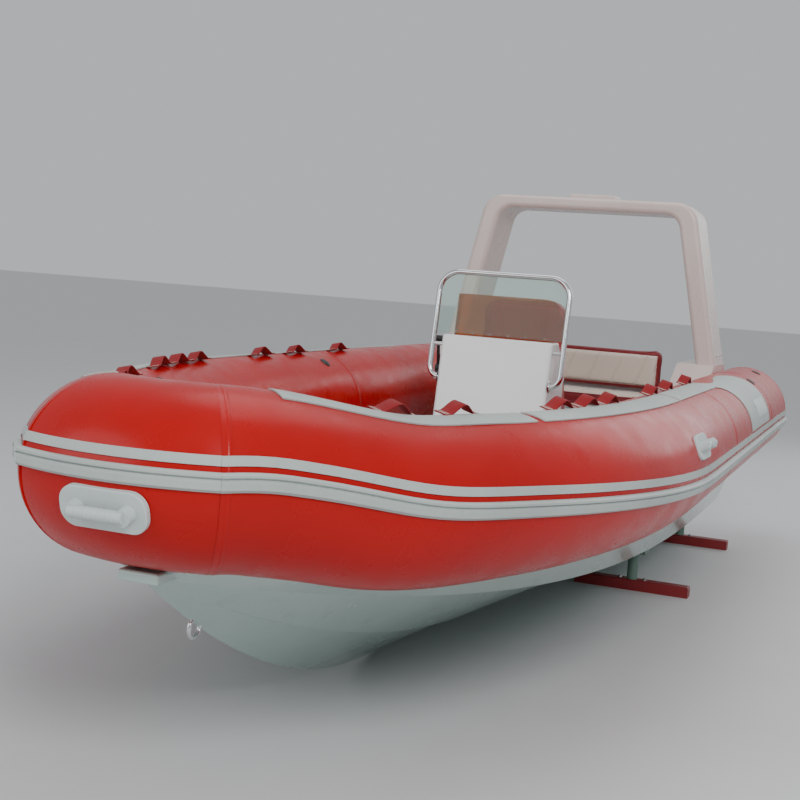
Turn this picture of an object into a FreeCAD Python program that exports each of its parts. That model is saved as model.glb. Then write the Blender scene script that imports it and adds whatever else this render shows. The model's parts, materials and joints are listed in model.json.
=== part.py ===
"""Rigid inflatable boat: GRP hull, inflated collar, console, helm seat, stern bench and roll arch.

Millimetres.  +X is the bow, +Y the port side, +Z up.  The origin is on the floor, at the
middle of the boat's length and beam.
"""
import FreeCAD, Part
import math
import os

V = FreeCAD.Vector
UP = V(0, 0, 1)

# ---- driving dimensions -----------------------------------------------------------------
LENGTH = 5830.0            # bow handle to the tips of the tail cones
BEAM = 2343.0              # over the rub rails
TUBE_D = 500.0             # inflated collar
TUBE_Z = 802.0             # height of the collar's centre line, aft
SHEER_RISE = 86.0          # how much the collar climbs at the bow
DEAD_RISE = 19.0           # of the bottom at the transom, in degrees
FIT = 0.5                  # clearance between curved faces of one body
MOVE_GAP = 6.0             # clearance round a moving piece

# ---- collar -----------------------------------------------------------------------------
RAIL_H = 50.0              # rub rail, along the skin
RAIL_PROUD = 20.0          # rub rail, out from the skin
BAND_H = 26.0              # grey accent band above the rail
BAND_T = 4.0
BAND_GAP = 15.0            # red gap between the rail and the band
RAIL_ANGLE_AFT = -10.5     # rail centre above the collar's equator, in degrees
RAIL_ANGLE_BOW = 7.5
FRONT_HALF = 144.0         # half width of the bow section on its centre line
FRONT_SWEEP = 18.0         # how far the bow section has turned at each seam, in degrees
SIDE_START = 37.0          # heading of the side tube at the seam, from the boat's axis
SIDE_LEAD = 416.0          # Bezier lead at the seam
RUN_LEAD = 1320.0          # Bezier lead where the side becomes straight
BOW_CURVE = 2184.0         # bow seam to the start of the straight side
SHEER_RUN = 560.0          # length over which the collar climbs
CONE_L = 300.0             # tail cone, without its cap
CONE_CAP = 80.0
CONE_R = 165.0             # tail cone, small end
CONE_RAIL = 0.8            # share of the cone that the rail covers

# ---- hull -------------------------------------------------------------------------------
TRANSOM_FROM_TAIL = 540.0  # tail cone tip to the transom's aft face
TRANSOM_T = 70.0
TRANSOM_TOP = 790.0
MOTOR_TOP = 640.0          # top of the motor cut-out
MOTOR_W = 620.0
CHINE_Y = 780.0
CHINE_FLAT = 45.0
STRAKE_STEP = 22.0
STEM_RUN = 1750.0          # forefoot to the nose
NOSE_H = 45.0
HULL_LAP = 25.0            # how far the hull reaches up round the collar
DECK_T = 14.0
DECK_UNDER = 60.0          # the sole ends this far inboard of the collar's centre line
WELL_L = 330.0             # splash well ahead of the transom
WELL_W = 760.0
WELL_DEPTH = 230.0
BOLT_R = 6.75              # standard outboard motor bolts
BOLT_UPPER = 327.0
BOLT_LOWER = 250.8
BOLT_DROP = 203.2
BOLT_FROM_TOP = 60.0

# ---- console and hoop -------------------------------------------------------------------
CONSOLE_FROM_TRANSOM = 2030.0   # transom's aft face to the console's top front edge
CONSOLE_W = 540.0
CONSOLE_TOP = 1190.0
CONSOLE_L = 370.0          # at deck level
DASH_START = 130.0         # flat top, front to back
CONSOLE_WALL = 12.0
RAKE = 9.0                 # console front, screens and hoop, in degrees
DASH_SLOPE_DROP = 150.0
DOOR_W = 230.0
DOOR_H = 175.0
DOOR_UP = 50.0             # deck to the door opening
DOOR_T = 12.0
DOOR_LAP = 16.0
SCREEN_T = 5.0
SCREEN_W = 470.0
SCREEN_H = 205.0
SCREEN_WING = 130.0
HOOP_D = 26.0
HOOP_W = 640.0
HOOP_TOP = 1510.0
HOOP_LOW = 985.0
HOOP_R = 95.0
HOOP_FOOT_R = 55.0
WHEEL_R = 165.0
WHEEL_RIM = 11.0

# ---- helm seat --------------------------------------------------------------------------
SEAT_Y = -130.0
SEAT_W = 560.0
SEAT_L = 310.0
SEAT_GAP = 300.0           # console's aft face to the seat base
SEAT_TOP = 950.0           # top of the base
LID_T = 18.0
CUSHION_T = 85.0
BACK_W = 480.0
BACK_H = 300.0
BACK_T = 75.0

# ---- stern bench, coamings and arch -----------------------------------------------------
BENCH_FROM_TRANSOM = 460.0 # transom's aft face to the back of the bench
BENCH_L = 400.0
BENCH_W = 1130.0
BENCH_TOP = 790.0
BENCH_CUSHION_T = 80.0
BENCH_BACK_W = 1060.0
BENCH_BACK_H = 245.0
BENCH_BACK_T = 70.0
WALL = 16.0                # moulded lockers
ARCH_FROM_TRANSOM = 90.0   # transom's aft face to the arch's aft face
ARCH_DEPTH = 360.0
ARCH_TOP = 1970.0
ARCH_FOOT = 1075.0
ARCH_HALF_LOW = 800.0
ARCH_HALF_TOP = 612.0
ARCH_SIDE_T = 110.0
ARCH_TOP_T = 72.0
ARCH_R = 130.0
ARCH_EDGE = 28.0
LIGHT_W = 272.0
LIGHT_H = 26.0
COAMING_IN = 600.0         # inner face of the side coamings
COAMING_FRONT = 900.0      # height of their front end

# ---- bow locker -------------------------------------------------------------------------
LOCKER_FROM_BOW = 780.0    # bow tip to the locker's forward end
LOCKER_L = 560.0
LOCKER_TOP = 860.0
LOCKER_GAP = 45.0          # between the locker and the collar

# ---- hinges -----------------------------------------------------------------------------
HINGE_R = 4.0
HINGE_OUT = 10.0           # from the lid's or door's edge to the pin's centre line
HINGE_L = 60.0

# ---- lifting handles --------------------------------------------------------------------
HANDLE_L = 255.0
HANDLE_H = 112.0
GRIP_OUT = 34.0            # skin to the grip's centre line
BOW_HANDLE_ANGLE = -14.5   # below the collar's equator

# ---- stands -----------------------------------------------------------------------------
STAND_Y = 650.0
STAND_FOOT_L = 560.0
STAND_FOOT_W = 70.0
STAND_FOOT_H = 52.0
POST_D = 52.0
PAD = 130.0
PAD_T = 22.0
STAND_FROM_TRANSOM = (170.0, 1570.0)

# ---- worked out from the above ----------------------------------------------------------
R = TUBE_D / 2
TUBE_Y = BEAM / 2 - RAIL_PROUD - R
GRIP_R = HANDLE_H * 0.145
BOW_X = LENGTH / 2 - (R + GRIP_OUT) * math.cos(math.radians(BOW_HANDLE_ANGLE)) - GRIP_R
TAIL_X = -LENGTH / 2
CONE_X = TAIL_X + CONE_CAP + CONE_L
TRANSOM_X = TAIL_X + TRANSOM_FROM_TAIL
CURVE_X = BOW_X - BOW_CURVE
FRONT_R = FRONT_HALF / math.sin(math.radians(FRONT_SWEEP))
SEAM_X = BOW_X - FRONT_R * (1 - math.cos(math.radians(FRONT_SWEEP)))
DECK_Z = TUBE_Z - R + HULL_LAP
DECK_TOP = DECK_Z + DECK_T
NOSE_X = BOW_X + 20.0
NOSE_Z = TUBE_Z + SHEER_RISE - R
CONSOLE_X = TRANSOM_X + CONSOLE_FROM_TRANSOM
RAKE_SHIFT = (CONSOLE_TOP - DECK_TOP) * math.tan(math.radians(RAKE))
CONSOLE_AFT = CONSOLE_X + RAKE_SHIFT - CONSOLE_L
SEAT_FRONT = CONSOLE_AFT - SEAT_GAP
BENCH_X = TRANSOM_X + BENCH_FROM_TRANSOM
LOCKER_X = LENGTH / 2 - LOCKER_FROM_BOW
DECK_ENDS = (TRANSOM_X + TRANSOM_T + WELL_L + 5, LOCKER_X - LOCKER_L)


# ---- helpers ----------------------------------------------------------------------------
def box(x0, x1, y0, y1, z0, z1):
    return Part.makeBox(x1 - x0, y1 - y0, z1 - z0, V(x0, y0, z0))


def mirrored(shape):
    return shape.mirror(V(0, 0, 0), V(0, 1, 0))


def polygon(points):
    return Part.makePolygon(list(points) + [points[0]])


def prism(points, direction):
    return Part.Face(polygon(points)).extrude(direction)


def rounded(shape, radius, wanted):
    """Fillet the edges whose centre and direction pass the given test."""
    edges = [e for e in shape.Edges if wanted(e)]
    return shape.makeFillet(radius, edges)


def runs_along(edge, axis, tol=0.02):
    first, last = edge.Vertexes[0].Point, edge.Vertexes[-1].Point
    span = last - first
    return span.Length > 1 and abs(span.normalize().dot(axis)) > 1 - tol


def soft_box(x0, x1, y0, y1, z0, z1, radius):
    solid = box(x0, x1, y0, y1, z0, z1)
    return solid.makeFillet(radius, solid.Edges)


def fused(shapes):
    return shapes[0].multiFuse(shapes[1:]).removeSplitter()


# ---- the collar's centre line -----------------------------------------------------------
def rise(x):
    s = min(max((x - (BOW_X - SHEER_RUN)) / SHEER_RUN, 0.0), 1.0)
    return SHEER_RISE * s * s * (3 - 2 * s)


def bezier(t, p0, p1, p2, p3):
    a, b = 1 - t, t
    return p0 * a ** 3 + p1 * (3 * a * a * b) + p2 * (3 * a * b * b) + p3 * b ** 3


def side_plan(t):
    """Port side in plan, from the seam at t = 0 to the straight at t = 1; t < 0 runs on."""
    heading = math.radians(SIDE_START)
    ahead = V(-math.cos(heading), math.sin(heading), 0)
    p0 = V(SEAM_X, FRONT_HALF, 0)
    if t < 0:
        return p0 + ahead * (3 * SIDE_LEAD * t)
    return bezier(t, p0, p0 + ahead * SIDE_LEAD, V(CURVE_X + RUN_LEAD, TUBE_Y, 0),
                  V(CURVE_X, TUBE_Y, 0))


class Station:
    """A cross-section of the collar: centre, tangent, outward and upward directions, radius."""

    def __init__(self, centre, tangent, radius):
        self.c, self.t, self.r = centre, tangent.normalize(), radius
        self.u = (UP - self.t * UP.dot(self.t)).normalize()
        self.n = self.t.cross(self.u)

    def point(self, angle, out):
        a = math.radians(angle)
        reach = self.r + out
        return self.c + self.n * (reach * math.cos(a)) + self.u * (reach * math.sin(a))

    def arc(self, a0, a1, out):
        return Part.Arc(self.point(a0, out), self.point((a0 + a1) / 2, out),
                        self.point(a1, out)).toShape()

    def circle(self, out=0.0):
        return Part.Wire([self.arc(0, 180, out), self.arc(180, 360, out)])

    def sector(self, a0, a1, out0, out1):
        outer, inner = self.arc(a0, a1, out1), self.arc(a1, a0, out0)
        up = Part.makeLine(self.point(a1, out1), self.point(a1, out0))
        down = Part.makeLine(self.point(a0, out0), self.point(a0, out1))
        return Part.Wire([outer, up, inner, down])

    def angle(self, length):
        return math.degrees(length / self.r)


def side_centre(t):
    p = side_plan(t)
    return V(p.x, p.y, TUBE_Z + rise(p.x))


def side_stations(start, end_x, steps=14, straight_steps=9):
    """Stations down the port side, from Bezier value start to the x of end_x."""
    out = []
    for i in range(steps + 1):
        t = start + (1 - start) * i / steps
        tangent = side_centre(t + 0.004) - side_centre(t - 0.004) if t < 0.995 else V(-1, 0, 0)
        out.append(Station(side_centre(t), tangent, R))
    for i in range(1, straight_steps + 1):
        x = CURVE_X + (end_x - CURVE_X) * i / straight_steps
        out.append(Station(V(x, TUBE_Y, TUBE_Z), V(-1, 0, 0), R))
    return out


def cone_station(share):
    """A cross-section of the tail cone, share of the way along it."""
    return Station(V(CONE_X - CONE_L * share, TUBE_Y, TUBE_Z), V(-1, 0, 0),
                   R + (CONE_R - R) * share)


def front_stations(reach, steps=6):
    """Stations across the bow, from starboard to port, reach degrees each side."""
    out = []
    for i in range(steps + 1):
        a = math.radians(-reach + 2 * reach * i / steps)
        centre = V(BOW_X - FRONT_R * (1 - math.cos(a)), FRONT_R * math.sin(a),
                   TUBE_Z + SHEER_RISE)
        out.append(Station(centre, V(-math.sin(a), math.cos(a), 0), R))
    return out


def loft(wires):
    return Part.makeLoft(wires, True, False)


def seam_side(ahead):
    """A big block on the bow's side of the port seam plane, or on the side tube's side."""
    turn = 90 + (FRONT_SWEEP + 90 - SIDE_START) / 2
    size = 4 * TUBE_D
    block = box(0, size, -size, size, -size, size) if not ahead else box(-size, 0, -size, size,
                                                                        -size, size)
    block.rotate(V(0, 0, 0), UP, turn)
    block.translate(V(SEAM_X, FRONT_HALF, TUBE_Z + SHEER_RISE))
    return block


def trim_side(shape):
    return shape.cut(seam_side(True))


def port_half(shape):
    """Without what would meet the starboard twin."""
    return shape.cut(box(-LENGTH, LENGTH, -BEAM, FIT / 2, 0, 2 * TUBE_Z))


def without(shape, tools):
    for tool in tools:
        shape = shape.cut(tool)
    return shape


def trim_front(shape):
    far = seam_side(False)
    return shape.cut(far).cut(mirrored(far))


START = -0.16              # the side pieces start ahead of the seam and are cut back to it
SIDE = side_stations(START, CONE_X)
FRONT = front_stations(FRONT_SWEEP + 32)


def rail_centre(station):
    """The rail's angle above the equator, easing from bow to stern."""
    s = min(max((station.c.x - CURVE_X) / (BOW_X - CURVE_X), 0.0), 1.0)
    return RAIL_ANGLE_AFT + (RAIL_ANGLE_BOW - RAIL_ANGLE_AFT) * s * s * (3 - 2 * s)


def collar(out=0.0):
    """Port side tube and bow tube, out mm larger all round."""
    side = trim_side(loft([s.circle(out) for s in SIDE]))
    front = trim_front(loft([s.circle(out) for s in FRONT]))
    return side, front


def tail_cone():
    x0 = CONE_X
    tip = V(TAIL_X, 0, 0)
    small = V(x0 - CONE_L, 0, CONE_R)
    ball = (CONE_R ** 2 + CONE_CAP ** 2) / (2 * CONE_CAP)
    half_way = math.asin(CONE_R / ball) / 2
    mid = V(TAIL_X + ball * (1 - math.cos(half_way)), 0, ball * math.sin(half_way))
    edges = [Part.makeLine(V(x0, 0, 0), V(x0, 0, R)), Part.makeLine(V(x0, 0, R), small),
             Part.Arc(small, mid, tip).toShape(), Part.makeLine(tip, V(x0, 0, 0))]
    solid = Part.Face(Part.Wire(edges)).revolve(V(0, 0, 0), V(1, 0, 0), 360)
    solid.translate(V(0, TUBE_Y, TUBE_Z))
    return solid


def rail_wire(station):
    """Rub rail: a flat base on the skin, a bead along its upper edge and a rounded face."""
    c = rail_centre(station)
    half = RAIL_H / 2
    face = [(-half, 5), (-half + 7, 14), (-2, RAIL_PROUD - 4), (4, RAIL_PROUD - 4),
            (8, RAIL_PROUD - 9), (11, RAIL_PROUD - 1), (17, RAIL_PROUD), (half - 2, RAIL_PROUD - 7),
            (half, 4)]
    pts = [station.point(c + station.angle(s), h) for s, h in face]
    low = station.point(c - station.angle(half), FIT)
    high = station.point(c + station.angle(half), FIT)
    edges = [Part.makeLine(a, b) for a, b in zip([low] + pts, pts + [high])]
    base = station.arc(c + station.angle(half), c - station.angle(half), FIT)
    return Part.Wire(edges + [base])


def band_wire(station):
    c = rail_centre(station)
    a0 = c + station.angle(RAIL_H / 2 + BAND_GAP)
    return station.sector(a0, a0 + station.angle(BAND_H), FIT, BAND_T)


def collar_strip(wire):
    side = trim_side(loft([wire(s) for s in SIDE]))
    tail = Part.makeLoft([wire(SIDE[-1]), wire(cone_station(CONE_RAIL))], True, True)
    return side.fuse(tail), trim_front(loft([wire(s) for s in FRONT]))


# ---- hull -------------------------------------------------------------------------------
def keel_z(x):
    forefoot = NOSE_X - STEM_RUN
    return NOSE_Z * (max(x - forefoot, 0.0) / STEM_RUN) ** 2 * (NOSE_Z - NOSE_H) / NOSE_Z


def collar_y(x):
    """Half beam of the collar's centre line at x."""
    if x <= CURVE_X:
        return TUBE_Y
    low, high = 0.0, 1.0
    for _ in range(40):
        mid = (low + high) / 2
        if side_plan(mid).x > x:
            low = mid
        else:
            high = mid
    return side_plan(low).y


def inner_y(x):
    """Half width of the space between the collar's tubes at x, at their centre line's height."""
    slope = (collar_y(x + 5) - collar_y(x - 5)) / 10
    return collar_y(x) - R * math.sqrt(1 + slope * slope)


def hull_points(x):
    """Port half of a section: keel, strake, chine, chine flat and top edge."""
    s = min(max((x - TRANSOM_X) / (NOSE_X - TRANSOM_X), 0.0), 1.0)
    top_z = TUBE_Z + rise(x) - R + HULL_LAP + 8
    top_y = collar_y(min(x, SEAM_X)) + 30
    fine = (1 - s ** 3.2)
    chine_y = 12 + (CHINE_Y - 12) * fine
    keel = keel_z(x)
    lift = math.tan(math.radians(DEAD_RISE)) * CHINE_Y
    chine_z = lift + (NOSE_Z - 30 - lift) * s ** 3.4
    chine_z = max(chine_z, keel + 14)
    step = 4 + (STRAKE_STEP - 4) * min(1.0, 3 * fine)
    flat = 5 + (CHINE_FLAT - 5) * min(1.0, 2 * fine)
    top_y = min(top_y, chine_y + flat + 110 + 60 * s)
    my, mz = chine_y * 0.52, keel + (chine_z - keel) * 0.50
    return [V(x, 0, keel), V(x, my - step / 2, mz), V(x, my + step / 2, mz + 1),
            V(x, chine_y, chine_z), V(x, chine_y + flat, chine_z + 1), V(x, top_y, top_z)]


def hull_section(x):
    port = hull_points(x)
    starboard = [V(p.x, -p.y, p.z) for p in reversed(port[1:])]
    return polygon(port + starboard)


def hull_stations(count=20):
    first = TRANSOM_X + TRANSOM_T
    return [first + (NOSE_X - first) * i / count for i in range(count + 1)]


def hull_body():
    body = loft([hull_section(x) for x in hull_stations()])
    nose = soft_box(NOSE_X - 90, NOSE_X + 50, -62, 62, NOSE_Z - 34, NOSE_Z - 2, 8)
    body = body.fuse(nose)
    return body.cut(box(-LENGTH, LENGTH, -BEAM, BEAM, -200, 0))


def splash_well():
    x0 = TRANSOM_X + TRANSOM_T
    return box(x0 - 1, x0 + WELL_L, -WELL_W / 2, WELL_W / 2, DECK_TOP - WELL_DEPTH, DECK_TOP + 1)


def hull(around):
    sole = prism(deck_outline(DECK_UNDER, *DECK_ENDS), V(0, 0, 400))
    sole.translate(V(0, 0, DECK_Z))
    return without(hull_body(), around).cut(splash_well()).cut(sole)


def transom(around):
    """Motor board: the hull's own section carried up, with a cut-out and the motor's bolts."""
    section = Part.Face(hull_section(TRANSOM_X + TRANSOM_T)).extrude(V(-TRANSOM_T, 0, 0))
    half = TUBE_Y - 190
    x0, x1 = TRANSOM_X, TRANSOM_X + TRANSOM_T
    upper = prism([V(x0, -half, DECK_Z - 60), V(x0, -half, TRANSOM_TOP - 40),
                   V(x0, -half + 60, TRANSOM_TOP), V(x0, -MOTOR_W / 2 - 70, TRANSOM_TOP),
                   V(x0, -MOTOR_W / 2, MOTOR_TOP), V(x0, MOTOR_W / 2, MOTOR_TOP),
                   V(x0, MOTOR_W / 2 + 70, TRANSOM_TOP), V(x0, half - 60, TRANSOM_TOP),
                   V(x0, half, TRANSOM_TOP - 40), V(x0, half, DECK_Z - 60)], V(TRANSOM_T, 0, 0))
    board = section.fuse(upper).removeSplitter()
    for z, spacing in ((MOTOR_TOP - BOLT_FROM_TOP, BOLT_UPPER),
                       (MOTOR_TOP - BOLT_FROM_TOP - BOLT_DROP, BOLT_LOWER)):
        for side in (-1, 1):
            board = board.cut(Part.makeCylinder(BOLT_R, 3 * TRANSOM_T,
                                                V(x0 - TRANSOM_T, side * spacing / 2, z),
                                                V(1, 0, 0)))
    return without(board, around)


def deck_outline(inset, aft, fore, steps=10):
    """Closed outline between the collar tubes, inset from their centre lines."""
    port = [V(aft + (fore - aft) * i / steps, 0, 0) for i in range(steps + 1)]
    port = [V(p.x, collar_y(p.x) - inset, 0) for p in port]
    return port + [V(p.x, -p.y, 0) for p in reversed(port)]


def deck(around, below):
    """Cockpit sole: a thin plate from the splash well to the foot of the bow locker."""
    plate = prism(deck_outline(DECK_UNDER, *DECK_ENDS), V(0, 0, DECK_T))
    plate.translate(V(0, 0, DECK_Z))
    return max(without(plate, around).cut(below).Solids, key=lambda s: s.Volume)


# ---- bow locker -------------------------------------------------------------------------
def locker_outline(inset, z):
    """Trapezoid between the bow tubes, with its narrow end forward."""
    x0, x1 = LOCKER_X - LOCKER_L, LOCKER_X
    y0, y1 = (inner_y(x) - LOCKER_GAP for x in (x0, x1))
    return [V(x0 + inset, -y0 + inset, z), V(x1 - inset, -y1 + inset, z),
            V(x1 - inset, y1 - inset, z), V(x0 + inset, y0 - inset, z)]


def bow_locker(around, below):
    base_z = DECK_Z - 40
    outer = prism(locker_outline(0, base_z), V(0, 0, LOCKER_TOP - base_z))
    inner = prism(locker_outline(WALL, DECK_Z + 110), V(0, 0, LOCKER_TOP))
    shell = without(outer.cut(inner), around).cut(below)
    return max(shell.Solids, key=lambda s: s.Volume)


def locker_lid():
    lid = prism(locker_outline(-6, LOCKER_TOP + MOVE_GAP), V(0, 0, 26))
    lid = lid.cut(box(LOCKER_X, LENGTH, -BEAM, BEAM, 0, 2 * LOCKER_TOP))
    lid = rounded(lid, 30, lambda e: runs_along(e, UP))
    return rounded(lid, 8, lambda e: e.CenterOfMass.z > LOCKER_TOP + MOVE_GAP + 25)


# ---- console ----------------------------------------------------------------------------
def console_profile(inset, z0):
    """Side view of the console: raked front, flat top, sloped dash and upright back."""
    t = math.tan(math.radians(RAKE))
    foot = CONSOLE_X + (CONSOLE_TOP - z0) * t
    return [V(foot - inset, 0, z0), V(CONSOLE_X + inset * t - inset, 0, CONSOLE_TOP - inset),
            V(CONSOLE_X - DASH_START + inset * 0.3, 0, CONSOLE_TOP - inset),
            V(CONSOLE_AFT + inset, 0, CONSOLE_TOP - DASH_SLOPE_DROP - inset * 0.4),
            V(CONSOLE_AFT + inset, 0, z0)]


def console():
    half = CONSOLE_W / 2
    outer = prism([p - V(0, half, 0) for p in console_profile(0, DECK_TOP)], V(0, CONSOLE_W, 0))
    outer = rounded(outer, 14, lambda e: e.CenterOfMass.z > DECK_TOP + 5)
    inner = prism([p - V(0, half - CONSOLE_WALL, 0) for p in
                   console_profile(CONSOLE_WALL, DECK_TOP - 1)],
                  V(0, CONSOLE_W - 2 * CONSOLE_WALL, 0))
    shell = outer.cut(inner)
    z0 = DECK_TOP + DOOR_UP
    hole = box(CONSOLE_AFT - 5, CONSOLE_AFT + 2 * CONSOLE_WALL, -DOOR_W / 2, DOOR_W / 2, z0,
               z0 + DOOR_H)
    return shell.cut(hole)


def console_door():
    """A lipped door that lies just aft of its opening and overlaps it all round."""
    z0 = DECK_TOP + DOOR_UP
    x1 = CONSOLE_AFT - MOVE_GAP
    half = DOOR_W / 2 + DOOR_LAP
    door = box(x1 - DOOR_T, x1, -half, half, z0 - DOOR_LAP, z0 + DOOR_H + DOOR_LAP)
    door = rounded(door, 18, lambda e: runs_along(e, V(1, 0, 0)))
    pull = box(x1 - DOOR_T - 10, x1 - DOOR_T, -DOOR_W / 2 + 12, -DOOR_W / 2 + 32,
               z0 + DOOR_H / 2 - 35, z0 + DOOR_H / 2 + 35)
    return door.fuse(pull).removeSplitter()


def raked(shape):
    """Lean a piece back about the console's top front edge."""
    shape.rotate(V(CONSOLE_X, 0, CONSOLE_TOP), V(0, 1, 0), -RAKE)
    return shape


def windscreen():
    """Curved tinted screen: a front pane with rounded corners and two swept-back wings."""
    half = SCREEN_W / 2
    z0, z1 = CONSOLE_TOP - 5, CONSOLE_TOP + SCREEN_H
    bend = 45.0
    x0 = CONSOLE_X - 32
    wing = math.radians(72)

    def outline(shrink):
        r = bend - shrink
        y = half - bend
        knee = V(x0 - bend + r * math.cos(wing), y + r * math.sin(wing), 0)
        middle = V(x0 - bend + r * math.cos(wing / 2), y + r * math.sin(wing / 2), 0)
        end = knee + V(-math.sin(wing), math.cos(wing), 0) * SCREEN_WING
        return V(x0 - shrink, y, 0), middle, knee, end

    def flip(p):
        return V(p.x, -p.y, 0)
    a, b, c, d = outline(0)
    e, f, g, h = outline(SCREEN_T)
    edges = [Part.makeLine(flip(a), a), Part.Arc(a, b, c).toShape(), Part.makeLine(c, d),
             Part.makeLine(d, h), Part.makeLine(h, g), Part.Arc(g, f, e).toShape(),
             Part.makeLine(e, flip(e)), Part.Arc(flip(e), flip(f), flip(g)).toShape(),
             Part.makeLine(flip(g), flip(h)), Part.makeLine(flip(h), flip(d)),
             Part.makeLine(flip(d), flip(c)), Part.Arc(flip(c), flip(b), flip(a)).toShape()]
    pane = Part.Face(Part.Wire(edges)).extrude(V(0, 0, z1 - z0))
    pane.translate(V(0, 0, z0))
    back = x0 - bend - SCREEN_WING
    slope = prism([V(back - 60, -BEAM, z0 + 50), V(x0 - 45, -BEAM, z1 + 10),
                   V(back - 60, -BEAM, z1 + 10)], V(0, 2 * BEAM, 0))
    return raked(pane.cut(slope)).cut(box(-LENGTH, LENGTH, -BEAM, BEAM, 0, CONSOLE_TOP + 0.2))


def hoop_path():
    """Port half of the hoop in the plane x = 0, from the top's middle to its foot."""
    y = HOOP_W / 2
    k = 1 - math.sqrt(0.5)
    top, low = HOOP_TOP - HOOP_D / 2, HOOP_LOW
    foot_y = CONSOLE_W / 2 + 2
    f = HOOP_FOOT_R
    return [Part.makeLine(V(0, 0, top), V(0, y - HOOP_R, top)),
            Part.Arc(V(0, y - HOOP_R, top), V(0, y - HOOP_R * k, top - HOOP_R * k),
                     V(0, y, top - HOOP_R)).toShape(),
            Part.makeLine(V(0, y, top - HOOP_R), V(0, y, low + f)),
            Part.Arc(V(0, y, low + f), V(0, y - f * k, low + f * k), V(0, y - f, low)).toShape(),
            Part.makeLine(V(0, y - f, low), V(0, foot_y - 12, low))]


def hoop():
    path = Part.Wire(hoop_path())
    start = Part.Wire([Part.Circle(V(0, 0, HOOP_TOP - HOOP_D / 2), V(0, 1, 0),
                                   HOOP_D / 2).toShape()])
    half = path.makePipeShell([start], True, False)
    stub_z = CONSOLE_TOP - 45
    stub = Part.makeCylinder(9, HOOP_W / 2 - CONSOLE_W / 2 + 10, V(0, CONSOLE_W / 2 - 10, stub_z),
                             V(0, 1, 0))
    half = half.fuse(stub)
    whole = half.fuse(mirrored(half)).removeSplitter()
    whole.translate(V(CONSOLE_X - 24, 0, 0))
    inside = box(-LENGTH, LENGTH, -CONSOLE_W / 2, CONSOLE_W / 2, 0, CONSOLE_TOP)
    return raked(whole).cut(inside)


def hoop_screen():
    """Clear sheet that fills the hoop above the console."""
    y = HOOP_W / 2 - HOOP_D / 2 - FIT
    top, low = HOOP_TOP - HOOP_D - FIT, CONSOLE_TOP + 12
    sheet = box(CONSOLE_X - 24 - SCREEN_T / 2, CONSOLE_X - 24 + SCREEN_T / 2, -y, y, low, top)
    sheet = rounded(sheet, HOOP_R - HOOP_D / 2 - FIT,
                    lambda e: runs_along(e, V(1, 0, 0)) and e.CenterOfMass.z > top - 1)
    return raked(sheet)


def dash_normal():
    rise_x = (CONSOLE_X - DASH_START) - CONSOLE_AFT
    return V(-DASH_SLOPE_DROP, 0, rise_x).normalize()


def dash_point(share, out):
    a = V(CONSOLE_X - DASH_START, 0, CONSOLE_TOP)
    b = V(CONSOLE_AFT, 0, CONSOLE_TOP - DASH_SLOPE_DROP)
    return a + (b - a) * share + dash_normal() * out


def dash_panel():
    """Instrument panel on the sloped dash, with round gauges and a row of switches."""
    n = dash_normal()
    along = (dash_point(1, 0) - dash_point(0, 0)).normalize()
    o = dash_point(0.12, 0.2)
    w, l = CONSOLE_W * 0.78, (dash_point(1, 0) - dash_point(0, 0)).Length * 0.42
    panel = prism([o + V(0, -w / 2, 0), o + V(0, w / 2, 0), o + V(0, w / 2, 0) + along * l,
                   o + V(0, -w / 2, 0) + along * l], n * 4)
    parts = [panel]
    for y in (-120, 0, 120):
        c = o + along * (l / 2) + V(0, y, 0)
        parts.append(Part.makeCylinder(34, 9, c, n))
    return fused(parts)


def wheel_centre():
    return V(CONSOLE_AFT - 85, 0, CONSOLE_TOP - DASH_SLOPE_DROP - 20)


def wheel_axis():
    tilt = math.radians(25)
    return V(-math.cos(tilt), 0, math.sin(tilt))


def steering_wheel():
    """Rim, three spokes and a hub, drawn flat and turned to the shaft."""
    rim = Part.makeTorus(WHEEL_R, WHEEL_RIM)
    hub = Part.makeCylinder(34, 30, V(0, 0, -26))
    parts = [rim, hub]
    for a in (90, 210, 330):
        spoke = Part.makeCylinder(9, WHEEL_R - 4, V(0, 0, -10), V(1, 0, 0.06))
        spoke.rotate(V(0, 0, 0), UP, a)
        parts.append(spoke)
    wheel = fused(parts)
    wheel.Placement = FreeCAD.Placement(wheel_centre(), FreeCAD.Rotation(UP, wheel_axis()))
    return wheel


def helm_shaft():
    """Bezel and shaft stub that carry the wheel."""
    axis = wheel_axis()
    start = wheel_centre() - axis * (26 + MOVE_GAP)
    shaft = Part.makeCylinder(14, 90, start, axis * -1)
    bezel = Part.makeCylinder(44, 90, start - axis * 30, axis * -1)
    body = shaft.fuse(bezel).removeSplitter()
    wedge = prism([p - V(0, CONSOLE_W, 0) for p in console_profile(0, DECK_TOP)],
                  V(0, 2 * CONSOLE_W, 0))
    return body.cut(wedge)


def throttle():
    """Side-mount control box on the dash's starboard end, with its lever."""
    x, y, z = CONSOLE_AFT + 55, -CONSOLE_W / 2, CONSOLE_TOP - 190
    case = soft_box(x - 45, x + 45, y - 70, y - 0.1, z - 60, z + 60, 8)
    hub = Part.makeCylinder(22, 26, V(x, y - 96, z + 10), V(0, 1, 0))
    lever = Part.makeCylinder(8, 150, V(x, y - 86, z + 10), V(0.18, 0, 1))
    knob = Part.makeCylinder(15, 70, V(x + 27, y - 121, z + 158), V(0, 1, 0))
    return fused([case, hub, lever, knob])


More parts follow.
